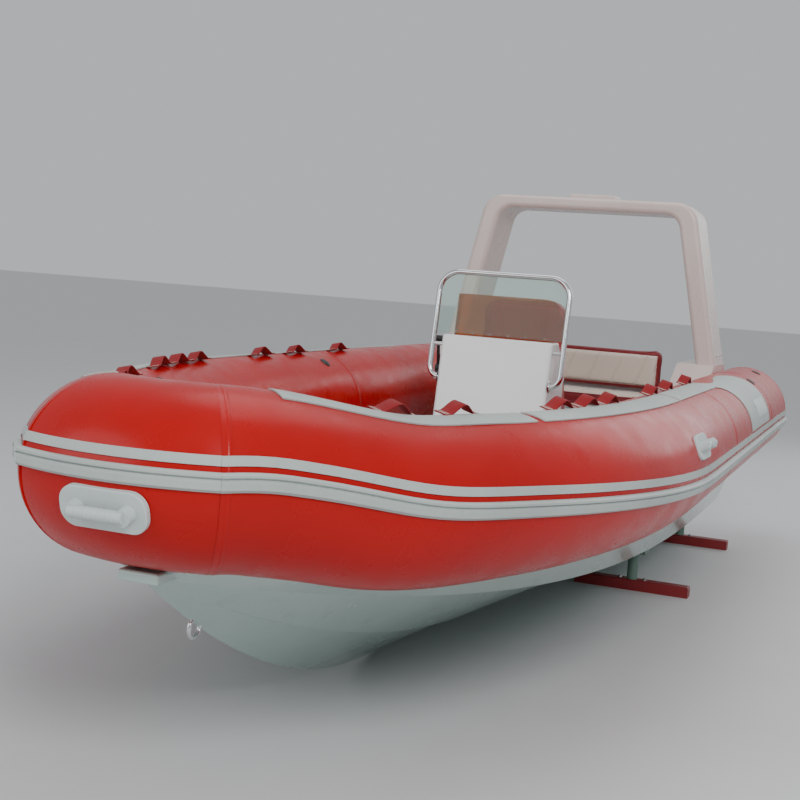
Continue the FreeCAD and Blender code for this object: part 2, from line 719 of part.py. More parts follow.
# ---- helm seat --------------------------------------------------------------------------
def seat_base():
    """Hollow moulded pod, narrower at its top."""
    x0, x1 = SEAT_FRONT - SEAT_L, SEAT_FRONT

    def ring(inset, z, flare):
        h = SEAT_W / 2 + flare - inset
        return polygon([V(x0 + inset, SEAT_Y - h, z), V(x1 - inset, SEAT_Y - h, z),
                        V(x1 - inset, SEAT_Y + h, z), V(x0 + inset, SEAT_Y + h, z)])
    outer = Part.makeLoft([ring(0, DECK_TOP, 20), ring(0, SEAT_TOP, -25)], True, True)
    outer = rounded(outer, 25, lambda e: abs(e.CenterOfMass.z - (DECK_TOP + SEAT_TOP) / 2) < 5)
    inner = Part.makeLoft([ring(WALL, DECK_TOP + 40, 18), ring(WALL, SEAT_TOP + 1, -25)], True,
                          True)
    return outer.cut(inner)


def seat_lid():
    x0, x1 = SEAT_FRONT - SEAT_L, SEAT_FRONT
    h = SEAT_W / 2 - 25
    z = SEAT_TOP + MOVE_GAP
    lid = box(x0 + 5, x1, SEAT_Y - h, SEAT_Y + h, z, z + LID_T)
    return rounded(lid, 20, lambda e: runs_along(e, UP))


def seat_cushion():
    x0, x1 = SEAT_FRONT - SEAT_L, SEAT_FRONT
    h = SEAT_W / 2 - 25
    z = SEAT_TOP + MOVE_GAP + LID_T
    return soft_box(x0 + 12, x1 - 8, SEAT_Y - h + 6, SEAT_Y + h - 6, z, z + CUSHION_T, 28)


def seat_back():
    x1 = SEAT_FRONT - SEAT_L - 12
    z0 = SEAT_TOP + MOVE_GAP + LID_T + CUSHION_T + 25
    pad = box(x1 - BACK_T, x1, SEAT_Y - BACK_W / 2, SEAT_Y + BACK_W / 2, z0, z0 + BACK_H)
    pad = rounded(pad, 95, lambda e: runs_along(e, V(1, 0, 0)) and e.CenterOfMass.z > z0 + 10)
    return rounded(pad, 24, lambda e: abs(e.CenterOfMass.x - x1) < 1
                   or abs(e.CenterOfMass.x - (x1 - BACK_T)) < 1)


def seat_frame():
    """Two uprights behind the base that carry the backrest."""
    x = SEAT_FRONT - SEAT_L - 12 - BACK_T
    z0, z1 = DECK_TOP + 160, SEAT_TOP + MOVE_GAP + LID_T + CUSHION_T + 25 + BACK_H * 0.55
    parts = []
    for side in (-1, 1):
        y = SEAT_Y + side * BACK_W * 0.3
        parts.append(box(x - 26, x - 0.1, y - 22, y + 22, z0, z1))
        parts.append(box(x - 26, SEAT_FRONT - SEAT_L - 0.1, y - 22, y + 22, z0, z0 + 90))
    return Part.makeCompound([fused(parts[:2]), fused(parts[2:])])


# ---- stern bench, coamings and arch -----------------------------------------------------
def bench_base():
    x0, x1 = BENCH_X, BENCH_X + BENCH_L
    h = BENCH_W / 2
    outer = box(x0, x1, -h, h, DECK_TOP, BENCH_TOP)
    inner = box(x0 + 40, x1 - WALL, -h + WALL, h - WALL, DECK_TOP + 20, BENCH_TOP + 1)
    back = box(x0, x0 + 26, -BENCH_BACK_W / 2 + 30, BENCH_BACK_W / 2 - 30, BENCH_TOP - 1,
               BENCH_TOP + BENCH_CUSHION_T + BENCH_BACK_H - 20)
    return outer.cut(inner).fuse(back).removeSplitter()


def bench_lid():
    x0, x1 = BENCH_X + 26 + BENCH_BACK_T + 12, BENCH_X + BENCH_L
    z = BENCH_TOP + MOVE_GAP
    lid = box(x0, x1, -BENCH_W / 2 + 4, BENCH_W / 2 - 4, z, z + LID_T)
    return rounded(lid, 18, lambda e: runs_along(e, UP))


def bench_cushion():
    x0, x1 = BENCH_X + 26 + BENCH_BACK_T + 12, BENCH_X + BENCH_L
    z = BENCH_TOP + MOVE_GAP + LID_T
    return soft_box(x0 + 4, x1 - 6, -BENCH_W / 2 + 12, BENCH_W / 2 - 12, z,
                    z + BENCH_CUSHION_T - LID_T + 14, 24)


def bench_back():
    x0 = BENCH_X + 26.1
    z0 = BENCH_TOP + BENCH_CUSHION_T + 25
    pad = box(x0, x0 + BENCH_BACK_T, -BENCH_BACK_W / 2, BENCH_BACK_W / 2, z0, z0 + BENCH_BACK_H)
    pad = rounded(pad, 45, lambda e: runs_along(e, V(1, 0, 0)))
    return rounded(pad, 20, lambda e: abs(e.CenterOfMass.x - (x0 + BENCH_BACK_T)) < 1)


def coaming(around):
    """Side moulding between the bench and the collar; the arch stands on it."""
    aft, fore = TRANSOM_X + TRANSOM_T + 1, BENCH_X + BENCH_L
    knee = ARCH_AFT + ARCH_DEPTH + 60
    side = prism([V(aft, COAMING_IN, DECK_TOP), V(aft, COAMING_IN, ARCH_FOOT),
                  V(knee, COAMING_IN, ARCH_FOOT), V(fore, COAMING_IN, COAMING_FRONT),
                  V(fore, COAMING_IN, DECK_TOP)], V(0, TUBE_Y - COAMING_IN, 0))
    outer_limit = box(-LENGTH, LENGTH, ARCH_HALF_LOW + 4, BEAM, 0, 3 * TUBE_Z)
    side = without(side.cut(outer_limit), around)
    return max(side.Solids, key=lambda s: s.CenterOfMass.z * s.Volume)


ARCH_AFT = TRANSOM_X + ARCH_FROM_TRANSOM


def arch_outline(inset_side, inset_top, radius, foot):
    """Trapezoid with rounded upper corners, seen from ahead."""
    slope = (ARCH_HALF_LOW - ARCH_HALF_TOP) / (ARCH_TOP - ARCH_FOOT)
    top = ARCH_TOP - inset_top

    def side(z):
        return ARCH_HALF_LOW - inset_side - slope * (z - ARCH_FOOT)
    lean = math.atan(slope)
    run = radius * math.tan((math.pi / 2 - lean) / 2)
    corner = V(0, side(top), top)
    a = corner + V(0, math.sin(lean), -math.cos(lean)) * run
    b = corner - V(0, run, 0)
    centre = b - V(0, 0, radius)
    away = (corner - centre).normalize()
    m = centre + away * radius

    def flip(p):
        return V(p.x, -p.y, p.z)
    low = V(0, side(foot), foot)
    return Part.Wire([Part.makeLine(low, a), Part.Arc(a, m, b).toShape(),
                      Part.makeLine(b, flip(b)), Part.Arc(flip(b), flip(m), flip(a)).toShape(),
                      Part.makeLine(flip(a), flip(low)), Part.makeLine(flip(low), low)])


def arch():
    outer = Part.Face(arch_outline(0, 0, ARCH_R, ARCH_FOOT)).extrude(V(ARCH_DEPTH, 0, 0))
    inner = Part.Face(arch_outline(ARCH_SIDE_T, ARCH_TOP_T, ARCH_R - 40, ARCH_FOOT - 50))
    inner = inner.extrude(V(ARCH_DEPTH + 20, 0, 0))
    inner.translate(V(-10, 0, 0))
    ring = outer.cut(inner)
    ring = rounded(ring, ARCH_EDGE, lambda e: e.CenterOfMass.z > ARCH_FOOT + 30
                   and (abs(e.CenterOfMass.x) < 1 or abs(e.CenterOfMass.x - ARCH_DEPTH) < 1))
    ring.translate(V(ARCH_AFT, 0, 0))
    return ring


def arch_light():
    """Low housing for the navigation light on top of the arch."""
    x = ARCH_AFT + ARCH_DEPTH / 2
    housing = box(x - 70, x + 90, -LIGHT_W / 2, LIGHT_W / 2, ARCH_TOP, ARCH_TOP + LIGHT_H)
    return rounded(housing, 10, lambda e: e.CenterOfMass.z > ARCH_TOP + 5)


# ---- things on the collar ---------------------------------------------------------------
def station_at(x):
    """The port collar's cross-section where its centre line passes x."""
    if x <= CURVE_X:
        return Station(V(x, TUBE_Y, TUBE_Z), V(-1, 0, 0), R)
    low, high = 0.0, 1.0
    for _ in range(40):
        mid = (low + high) / 2
        if side_plan(mid).x > x:
            low = mid
        else:
            high = mid
    return Station(side_centre(low), side_centre(low + 0.004) - side_centre(low - 0.004), R)


TREAD_ANGLE = (70.0, 92.0)         # outer and inner edge of the tread strips
TREAD_T = 5.0
TREADS = ((2500.0, 1690.0), (1655.0, 375.0), (345.0, -560.0))
LOOPS = (2150.0, 1905.0, 1390.0, 1185.0, 985.0, 360.0, 10.0, -480.0)
LOOP_ANGLE = 98.0
LOOP_W = 45.0
LOOP_SPAN = 190.0
LOOP_RISE = 54.0
LOOP_T = 5.0
BAND_FORE_X = -850.0               # tail band: its fore edge where it meets the rail
BAND_AFT_X = -1600.0
BAND_TURN = 140.0                  # length over which its fore edge swings down
BAND_SWEEP = 350.0                 # and its aft edge
BAND_FOOT_ANGLE = 6.5
PLATE_L = 380.0
PLATE_ANGLE = (17.0, 37.0)
AFT_HANDLE_X = 620.0
AFT_HANDLE_ANGLE = 23.0


def tread_strips():
    """Ribbed non-slip strips along the collar's top."""
    parts = []
    for fore, aft in TREADS:
        steps = 6
        xs = [fore + (aft - fore) * i / steps for i in range(steps + 1)]
        parts.append(loft([station_at(x).sector(TREAD_ANGLE[0], TREAD_ANGLE[1], FIT, TREAD_T)
                           for x in xs]))
    return Part.makeCompound(parts)


def skin_patch(edge, t0, t1):
    """A skin-deep piece of the straight tube, inside a closed outline of (x, w) points.

    The outline lies in the plane that faces up and outward at 45 degrees; w is measured
    across it, so a point of the skin at angle a stands at w = R sin(a - 45).
    """
    tilt = V(0, math.sqrt(0.5), math.sqrt(0.5))
    across = V(0, -math.sqrt(0.5), math.sqrt(0.5))
    axis = V(0, TUBE_Y, TUBE_Z)
    at = [[axis + V(x, 0, 0) + across * w for x, w in run] for run in edge]
    edges = []
    for run, after in zip(at, at[1:] + at[:1]):
        curve = Part.BSplineCurve()
        curve.interpolate(run)
        edges.append(curve.toShape())
        if (run[-1] - after[0]).Length > 1e-6:
            edges.append(Part.makeLine(run[-1], after[0]))
    prism_ = Part.Face(Part.Wire(edges)).extrude(tilt * (2 * R))
    x0, length = CONE_X, CURVE_X - CONE_X
    ring = Part.makeCylinder(R + t1, length, V(x0, TUBE_Y, TUBE_Z), V(1, 0, 0)).cut(
        Part.makeCylinder(R + t0, length, V(x0, TUBE_Y, TUBE_Z), V(1, 0, 0)))
    return max(prism_.common(ring).Solids, key=lambda s: s.Volume)


def skin_w(angle):
    return R * math.sin(math.radians(angle - 45))


def tail_band():
    """Wide grey band that leaves the aft tread strip and sweeps down the collar to the rail."""
    x0 = TREADS[-1][1] - 6
    high, low, foot = (skin_w(a) for a in (TREAD_ANGLE[1], TREAD_ANGLE[0], BAND_FOOT_ANGLE))
    aft = [(x0, high), (BAND_AFT_X + BAND_SWEEP, high - 1), (BAND_AFT_X + 110, skin_w(78)),
           (BAND_AFT_X + 12, skin_w(60)), (BAND_AFT_X - 8, skin_w(36)), (BAND_AFT_X, foot)]
    fore = [(BAND_FORE_X, foot), (BAND_FORE_X + 2, skin_w(34)), (BAND_FORE_X + 45, skin_w(54)),
            (BAND_FORE_X + BAND_TURN, skin_w(67)), (x0, low)]
    return skin_patch([aft, fore], FIT, TREAD_T - 1)


def hand_loop(x):
    """A webbing hand loop: a flat strap that arches between two sewn ends."""
    st = station_at(x)
    along = st.t
    out = (st.point(LOOP_ANGLE, 1) - st.point(LOOP_ANGLE, 0)).normalize()
    cross = along.cross(out)
    base = st.point(LOOP_ANGLE, TREAD_T + 1.6)
    half, t = LOOP_SPAN / 2, LOOP_T
    flat = 26.0

    def at(u, h):
        return base + along * u + out * h - cross * (LOOP_W / 2)
    outer = [at(-half, 0), at(-half, t), at(-half + flat, t), at(0, LOOP_RISE + t),
             at(half - flat, t), at(half, t), at(half, 0)]
    inner = [at(half - flat - 2, 0), at(0, LOOP_RISE), at(-half + flat + 2, 0)]
    edges = [Part.makeLine(outer[0], outer[1]), Part.makeLine(outer[1], outer[2]),
             Part.Arc(outer[2], outer[3], outer[4]).toShape(), Part.makeLine(outer[4], outer[5]),
             Part.makeLine(outer[5], outer[6]), Part.makeLine(outer[6], inner[0]),
             Part.Arc(inner[0], inner[1], inner[2]).toShape(), Part.makeLine(inner[2], outer[0])]
    return Part.Face(Part.Wire(edges)).extrude(cross * LOOP_W)


def hand_loops():
    return Part.makeCompound([hand_loop(x) for x in LOOPS])


def carry_handle(st, angle, length, height):
    """Moulded lifting handle: a rounded plate on the skin with a waisted grip over a hollow."""
    out = (st.point(angle, 1) - st.point(angle, 0)).normalize()
    along = st.t
    cross = out.cross(along)
    centre = st.point(angle, 0)
    to_world = FreeCAD.Matrix(along.x, cross.x, out.x, centre.x, along.y, cross.y, out.y, centre.y,
                              along.z, cross.z, out.z, centre.z, 0, 0, 0, 1)
    sag = R - math.sqrt(R * R - (height / 2) ** 2)
    plate = box(-length / 2, length / 2, -height / 2, height / 2, -sag - 3, 7)
    plate = rounded(plate, height * 0.42, lambda e: runs_along(e, UP))
    plate = rounded(plate, 4, lambda e: e.CenterOfMass.z > 6)
    grip_l = length * 0.72
    ends = [Part.makeCylinder(height * 0.2, GRIP_OUT, V(side * grip_l / 2 * 0.82, 0, 5), UP)
            for side in (-1, 1)]
    bar = Part.makeCylinder(height * 0.145, grip_l * 0.86, V(-grip_l * 0.43, 0, GRIP_OUT),
                            V(1, 0, 0))
    whole = fused([plate] + ends + [bar])
    return whole.transformGeometry(to_world)


def bow_handle(skin):
    return carry_handle(FRONT[len(FRONT) // 2], BOW_HANDLE_ANGLE, HANDLE_L, HANDLE_H).cut(skin)


def aft_handle(skin):
    st = station_at(AFT_HANDLE_X)
    return carry_handle(st, AFT_HANDLE_ANGLE, HANDLE_L * 0.8, HANDLE_H * 0.86).cut(skin)


def name_plate():
    """Blank data plate on the tail band."""
    x0 = BAND_AFT_X + 70
    low, high = (skin_w(a) for a in PLATE_ANGLE)
    return skin_patch([[(x0, low), (x0, high)], [(x0 + PLATE_L, high), (x0 + PLATE_L, low)]],
                      TREAD_T - 1 + FIT, TREAD_T + 2)


# ---- hinges -----------------------------------------------------------------------------
def lid_hinge(face_x, y, top):
    """A pin on a bracket, fixed to a locker's upright face, for a lid just above its rim."""
    x, z = face_x + HINGE_OUT, top + MOVE_GAP
    y0, y1 = y - HINGE_L / 2, y + HINGE_L / 2
    pin = Part.makeCylinder(HINGE_R, HINGE_L, V(x, y0, z), V(0, 1, 0))
    return fused([pin, box(face_x, face_x + 3, y0, y1, top - 30, top - 2),
                  box(face_x, x + 3, y0, y1, top - 6, top - 2),
                  box(x - 3, x + 3, y0, y1, top - 6, z)]).removeSplitter()


def door_hinge(z):
    x, y = CONSOLE_AFT - MOVE_GAP - DOOR_T / 2, DOOR_W / 2 + DOOR_LAP + HINGE_OUT
    z0, z1 = z - HINGE_L / 2, z + HINGE_L / 2
    pin = Part.makeCylinder(HINGE_R, HINGE_L, V(x, y, z0))
    return fused([pin, box(x, CONSOLE_AFT, y - 3, y + 3, z0, z1),
                  box(CONSOLE_AFT - 3, CONSOLE_AFT, y - 3, y + 26, z0, z1)]).removeSplitter()


def hinges():
    """Pins and brackets of the lids and the door; each pin lies on its joint's axis."""
    bench_x = BENCH_X + BENCH_L
    door_z = DECK_TOP + DOOR_UP + DOOR_H / 2
    return Part.makeCompound(
        [lid_hinge(SEAT_FRONT, SEAT_Y + side * SEAT_W * 0.28, SEAT_TOP) for side in (-1, 1)]
        + [lid_hinge(bench_x, side * BENCH_W * 0.33, BENCH_TOP) for side in (-1, 1)]
        + [lid_hinge(LOCKER_X, side * 45, LOCKER_TOP) for side in (-1, 1)]
        + [door_hinge(door_z + side * DOOR_H * 0.3) for side in (-1, 1)])


# ---- stands -----------------------------------------------------------------------------
def stand_places():
    return [(TRANSOM_X + dx, side * STAND_Y) for dx in STAND_FROM_TRANSOM for side in (-1, 1)]


def stand_feet():
    feet = []
    for x, y in stand_places():
        bar = box(x - STAND_FOOT_W / 2, x + STAND_FOOT_W / 2, y - STAND_FOOT_L / 2,
                  y + STAND_FOOT_L / 2, 0, STAND_FOOT_H)
        feet.append(rounded(bar, 8, lambda e: e.CenterOfMass.z > STAND_FOOT_H / 2))
    return Part.makeCompound(feet)


def stand_posts():
    lift = math.tan(math.radians(DEAD_RISE)) * STAND_Y
    posts = []
    for x, y in stand_places():
        posts.append(Part.makeCylinder(POST_D / 2, lift - PAD_T - 14 - STAND_FOOT_H,
                                       V(x, y, STAND_FOOT_H)))
    return Part.makeCompound(posts)


def stand_pads(body):
    """Blocks on the posts, shaped to the hull's bottom."""
    lift = math.tan(math.radians(DEAD_RISE)) * STAND_Y
    pads = []
    for x, y in stand_places():
        z = lift - PAD_T - 14
        block = box(x - PAD / 2, x + PAD / 2, y - PAD / 2, y + PAD / 2, z, z + 120)
        cut = block.cut(body)
        pads.append(min(cut.Solids, key=lambda s: s.CenterOfMass.z))
    return Part.makeCompound(pads)


def bow_eye(body):
    """Towing eye on the stem: a bent rod whose ends run into the keel line."""
    x = NOSE_X - STEM_RUN * 0.16
    z = keel_z(x)
    eye = Part.makeTorus(30, 7, V(x + 10, 0, z - 4), V(0, 1, 0)).cut(body)
    return max(eye.Solids, key=lambda s: s.Volume)


# ---- assembly ---------------------------------------------------------------------------
def main():
    os.makedirs("parts", exist_ok=True)
    side, front = collar()
    cone = tail_cone()
    fat_side, fat_front = collar(FIT)
    around = [fat_side, mirrored(fat_side), fat_front]
    side = port_half(side)
    skin = Part.makeCompound([side, mirrored(side), front])
    rail_side, rail_front = collar_strip(rail_wire)
    band_side, band_front = collar_strip(band_wire)
    treads = Part.makeCompound([s.cut(side) for s in tread_strips().Solids])
    hull_solid = hull(around)
    nodes = {
        "hull": hull_solid,
        "transom": transom(around),
        "deck": deck(around, hull_solid),
        "tube_port": side,
        "tube_starboard": mirrored(side),
        "tube_bow": front,
        "tail_cone_port": cone,
        "tail_cone_starboard": mirrored(cone),
        "rub_rail_port": rail_side,
        "rub_rail_starboard": mirrored(rail_side),
        "rub_rail_bow": rail_front,
        "accent_band_port": band_side,
        "accent_band_starboard": mirrored(band_side),
        "accent_band_bow": band_front,
        "console": console(),
        "console_door": console_door(),
        "windscreen": windscreen(),
        "hoop_rail": hoop(),
        "hoop_screen": hoop_screen(),
        "dash_panel": dash_panel(),
        "steering_wheel": steering_wheel(),
        "helm_shaft": helm_shaft(),
        "throttle_control": throttle(),
        "helm_seat_base": seat_base(),
        "helm_seat_lid": seat_lid(),
        "helm_seat_cushion": seat_cushion(),
        "helm_backrest": seat_back(),
        "helm_seat_frame": seat_frame(),
        "bench_base": bench_base(),
        "bench_lid": bench_lid(),
        "bench_cushion": bench_cushion(),
        "bench_backrest": bench_back(),
        "coaming_port": coaming(around),
        "coaming_starboard": mirrored(coaming(around)),
        "arch": arch(),
        "arch_light": arch_light(),
        "bow_locker": bow_locker(around, hull_solid),
        "bow_locker_lid": locker_lid(),
        "tread_strips_port": treads,
        "tread_strips_starboard": mirrored(treads),
        "tail_band_port": tail_band(),
        "tail_band_starboard": mirrored(tail_band()),
        "hand_loops_port": hand_loops(),
        "hand_loops_starboard": mirrored(hand_loops()),
        "carry_handle_bow": bow_handle(skin),
        "carry_handle_port": aft_handle(skin),
        "carry_handle_starboard": mirrored(aft_handle(skin)),
        "name_plate_port": name_plate().cut(skin),
        "name_plate_starboard": mirrored(name_plate().cut(skin)),
        "hinges": hinges(),
        "stand_feet": stand_feet(),
        "stand_posts": stand_posts(),
        "stand_pads": stand_pads(hull_solid),
        "bow_eye": bow_eye(hull_solid),
    }
    for name, shape in nodes.items():
        shape.exportStep("parts/" + name + ".step")
        box_ = shape.BoundBox
        print(f"{name:24s} solids {len(shape.Solids)} valid {shape.isValid()} "
              f"vol {shape.Volume / 1e6:9.2f} L  x {box_.XMin:7.0f} {box_.XMax:7.0f} "
              f"y {box_.YMin:7.0f} {box_.YMax:7.0f} z {box_.ZMin:7.0f} {box_.ZMax:7.0f}")


main()
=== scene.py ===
"""Looks of a rigid inflatable boat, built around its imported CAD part."""
import bpy
import bmesh
import json
import math
from mathutils import Matrix, Vector
from mathutils.bvhtree import BVHTree


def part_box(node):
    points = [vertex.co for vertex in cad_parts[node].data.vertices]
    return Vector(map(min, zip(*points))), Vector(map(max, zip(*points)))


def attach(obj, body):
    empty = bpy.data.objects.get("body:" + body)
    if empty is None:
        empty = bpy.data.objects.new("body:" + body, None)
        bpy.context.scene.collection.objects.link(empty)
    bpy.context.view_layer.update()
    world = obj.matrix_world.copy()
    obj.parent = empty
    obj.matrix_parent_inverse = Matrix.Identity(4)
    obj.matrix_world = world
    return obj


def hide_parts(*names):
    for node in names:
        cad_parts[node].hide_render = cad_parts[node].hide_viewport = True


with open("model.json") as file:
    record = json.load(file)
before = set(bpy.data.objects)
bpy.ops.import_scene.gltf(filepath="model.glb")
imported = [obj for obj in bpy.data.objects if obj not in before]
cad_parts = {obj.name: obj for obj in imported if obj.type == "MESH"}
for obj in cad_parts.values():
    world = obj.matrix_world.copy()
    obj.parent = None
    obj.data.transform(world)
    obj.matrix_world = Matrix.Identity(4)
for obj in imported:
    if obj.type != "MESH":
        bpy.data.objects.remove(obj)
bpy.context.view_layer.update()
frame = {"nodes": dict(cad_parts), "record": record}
NODES = frame["nodes"]


# ---- camera and stage -------------------------------------------------------------------
def aim_camera(place, yaw, pitch, roll, lens, shift):
    """A camera that looks aft along the boat, turned by yaw, pitch and roll in degrees."""
    yaw, pitch, roll = map(math.radians, (yaw, pitch, roll))
    ahead = Vector((-math.cos(yaw) * math.cos(pitch), -math.sin(yaw) * math.cos(pitch),
                    -math.sin(pitch)))
    right = ahead.cross(Vector((0, 0, 1))).normalized()
    up = right.cross(ahead)
    x = right * math.cos(roll) + up * math.sin(roll)
    y = up * math.cos(roll) - right * math.sin(roll)
    data = bpy.data.cameras.new("photo_camera")
    data.lens, data.sensor_width = lens, 36.0
    data.shift_x, data.shift_y = shift
    data.clip_start, data.clip_end = 0.05, 200
    cam = bpy.data.objects.new("photo_camera", data)
    bpy.context.scene.collection.objects.link(cam)
    cam.matrix_world = Matrix((
        (x.x, y.x, -ahead.x, place[0]), (x.y, y.y, -ahead.y, place[1]),
        (x.z, y.z, -ahead.z, place[2]), (0, 0, 0, 1)))
    bpy.context.scene.camera = cam


aim_camera((5.659, 1.829, 1.457), 20.88, 5.38, 4.15, 60.0, (0, 0))


def area_light(name, place, target, size, energy, colour=(1, 1, 1)):
    data = bpy.data.lights.new(name, "AREA")
    data.shape, data.size, data.energy, data.color = "DISK", size, energy, colour
    lamp = bpy.data.objects.new(name, data)
    bpy.context.scene.collection.objects.link(lamp)
    lamp.location = place
    lamp.rotation_mode = "QUATERNION"
    lamp.rotation_quaternion = (Vector(target) - Vector(place)).to_track_quat("-Z", "Y")
    lamp.visible_camera = False


area_light("key_light", (6.5, 4, 5), (1.5, 0.3, 0.8), 3, 330)
area_light("fill_light", (7, -4, 3), (1, 0, 0.8), 5, 110)
area_light("top_light", (-1, 0, 7), (0, 0, 0.8), 6, 130)
area_light("back_light", (-7, 3, 4), (0, 0, 0.8), 5, 90)

world = bpy.data.worlds.new("studio")
bpy.context.scene.world = world
world.use_nodes = True
world.node_tree.nodes["Background"].inputs["Color"].default_value = (0.9, 0.92, 0.95, 1)
world.node_tree.nodes["Background"].inputs["Strength"].default_value = 0.60


# ---- materials --------------------------------------------------------------------------
class Graph:
    """Small helper round one material's node tree."""

    def __init__(self, name):
        self.material = bpy.data.materials.new(name)
        self.material.use_nodes = True
        self.tree = self.material.node_tree
        self.shader = self.tree.nodes["Principled BSDF"]
        self.place = self.node("ShaderNodeTexCoord").outputs["Object"]

    def node(self, kind, **values):
        made = self.tree.nodes.new(kind)
        for key, value in values.items():
            if key in made.inputs:
                made.inputs[key].default_value = value
            else:
                setattr(made, key, value)
        return made

    def link(self, a, b):
        self.tree.links.new(a, b)

    def noise(self, scale, detail=4.0, rough=0.55):
        made = self.node("ShaderNodeTexNoise", Scale=scale, Detail=detail, Roughness=rough)
        self.link(self.place, made.inputs["Vector"])
        return made.outputs["Fac"]

    def remap(self, value, low, high, start=0.3, end=0.7):
        made = self.node("ShaderNodeMapRange")
        for key, number in (("From Min", start), ("From Max", end), ("To Min", low),
                            ("To Max", high)):
            made.inputs[key].default_value = number
        self.link(value, made.inputs["Value"])
        return made.outputs["Result"]

    def tint(self, factor, first, second):
        made = self.node("ShaderNodeMix", data_type="RGBA")
        made.inputs[6].default_value = (*first, 1)
        made.inputs[7].default_value = (*second, 1)
        self.link(factor, made.inputs[0])
        return made.outputs[2]

    def bump(self, height, strength, distance, under=None):
        made = self.node("ShaderNodeBump", Strength=strength, Distance=distance)
        self.link(height, made.inputs["Height"])
        if under is not None:
            self.link(under, made.inputs["Normal"])
        return made.outputs["Normal"]

    def wave(self, scale, axis, distort=0.0):
        made = self.node("ShaderNodeTexWave", Scale=scale, Distortion=distort,
                         wave_type="BANDS", bands_direction=axis)
        self.link(self.place, made.inputs["Vector"])
        return made.outputs["Fac"]

    def cells(self, scale):
        made = self.node("ShaderNodeTexVoronoi", Scale=scale)
        self.link(self.place, made.inputs["Vector"])
        return made.outputs["Distance"]

    def join(self, a, b, how="MULTIPLY"):
        made = self.node("ShaderNodeMath", operation=how)
        self.link(a, made.inputs[0])
        self.link(b, made.inputs[1])
        return made.outputs[0]


def shade(colour, k):
    return tuple(min(1.0, c * k) for c in colour)


def finish_of(name, colour, rough, spread=0.08, tone=0.10, patch=2.2, grain=900.0, depth=0.00012,
              strength=0.25, pattern=None, dirt=0.0, **shader):
    """Procedural material: tone drift, roughness drift, fine grain, and a pattern's relief."""
    g = Graph(name)
    drift = g.remap(g.noise(patch, 5.0), 0, 1)
    base = g.tint(drift, shade(colour, 1 - tone), shade(colour, 1 + tone))
    if dirt:
        marks = g.remap(g.noise(14.0, 8.0, 0.7), 0, dirt, 0.56, 0.78)
        mixed = g.node("ShaderNodeMix", data_type="RGBA")
        g.link(marks, mixed.inputs[0])
        g.link(base, mixed.inputs[6])
        mixed.inputs[7].default_value = (*shade(colour, 0.45), 1)
        base = mixed.outputs[2]
    g.link(base, g.shader.inputs["Base Color"])
    g.link(g.remap(g.noise(9.0, 6.0), rough - spread, rough + spread),
           g.shader.inputs["Roughness"])
    normal = g.bump(g.noise(grain, 3.0), strength, depth)
    if pattern:
        normal = pattern(g, normal)
    g.link(normal, g.shader.inputs["Normal"])
    for key, value in shader.items():
        g.shader.inputs[key.replace("_", " ")].default_value = value
    return g.material


def weave(scale):
    def add(g, under):
        woven = g.join(g.wave(scale, "X", 0.4), g.wave(scale * 0.9, "Y", 0.4))
        return g.bump(woven, 0.6, 0.0006, under)
    return add


def pebble(scale, distance=0.0007, strength=0.5):
    return lambda g, under: g.bump(g.cells(scale), strength, distance, under)


def soft_waves(g, under):
    """Slow unevenness of an inflated skin or a laid-up moulding."""
    return g.bump(g.noise(3.5, 1.0), 0.12, 0.02, under)


def clear(name, colour, rough, see_through):
    g = Graph(name)
    g.shader.inputs["Base Color"].default_value = (*colour, 1)
    g.shader.inputs["Transmission Weight"].default_value = see_through
    g.shader.inputs["IOR"].default_value = 1.2
    g.link(g.remap(g.noise(25.0, 6.0), rough, rough + 0.05), g.shader.inputs["Roughness"])
    return g.material


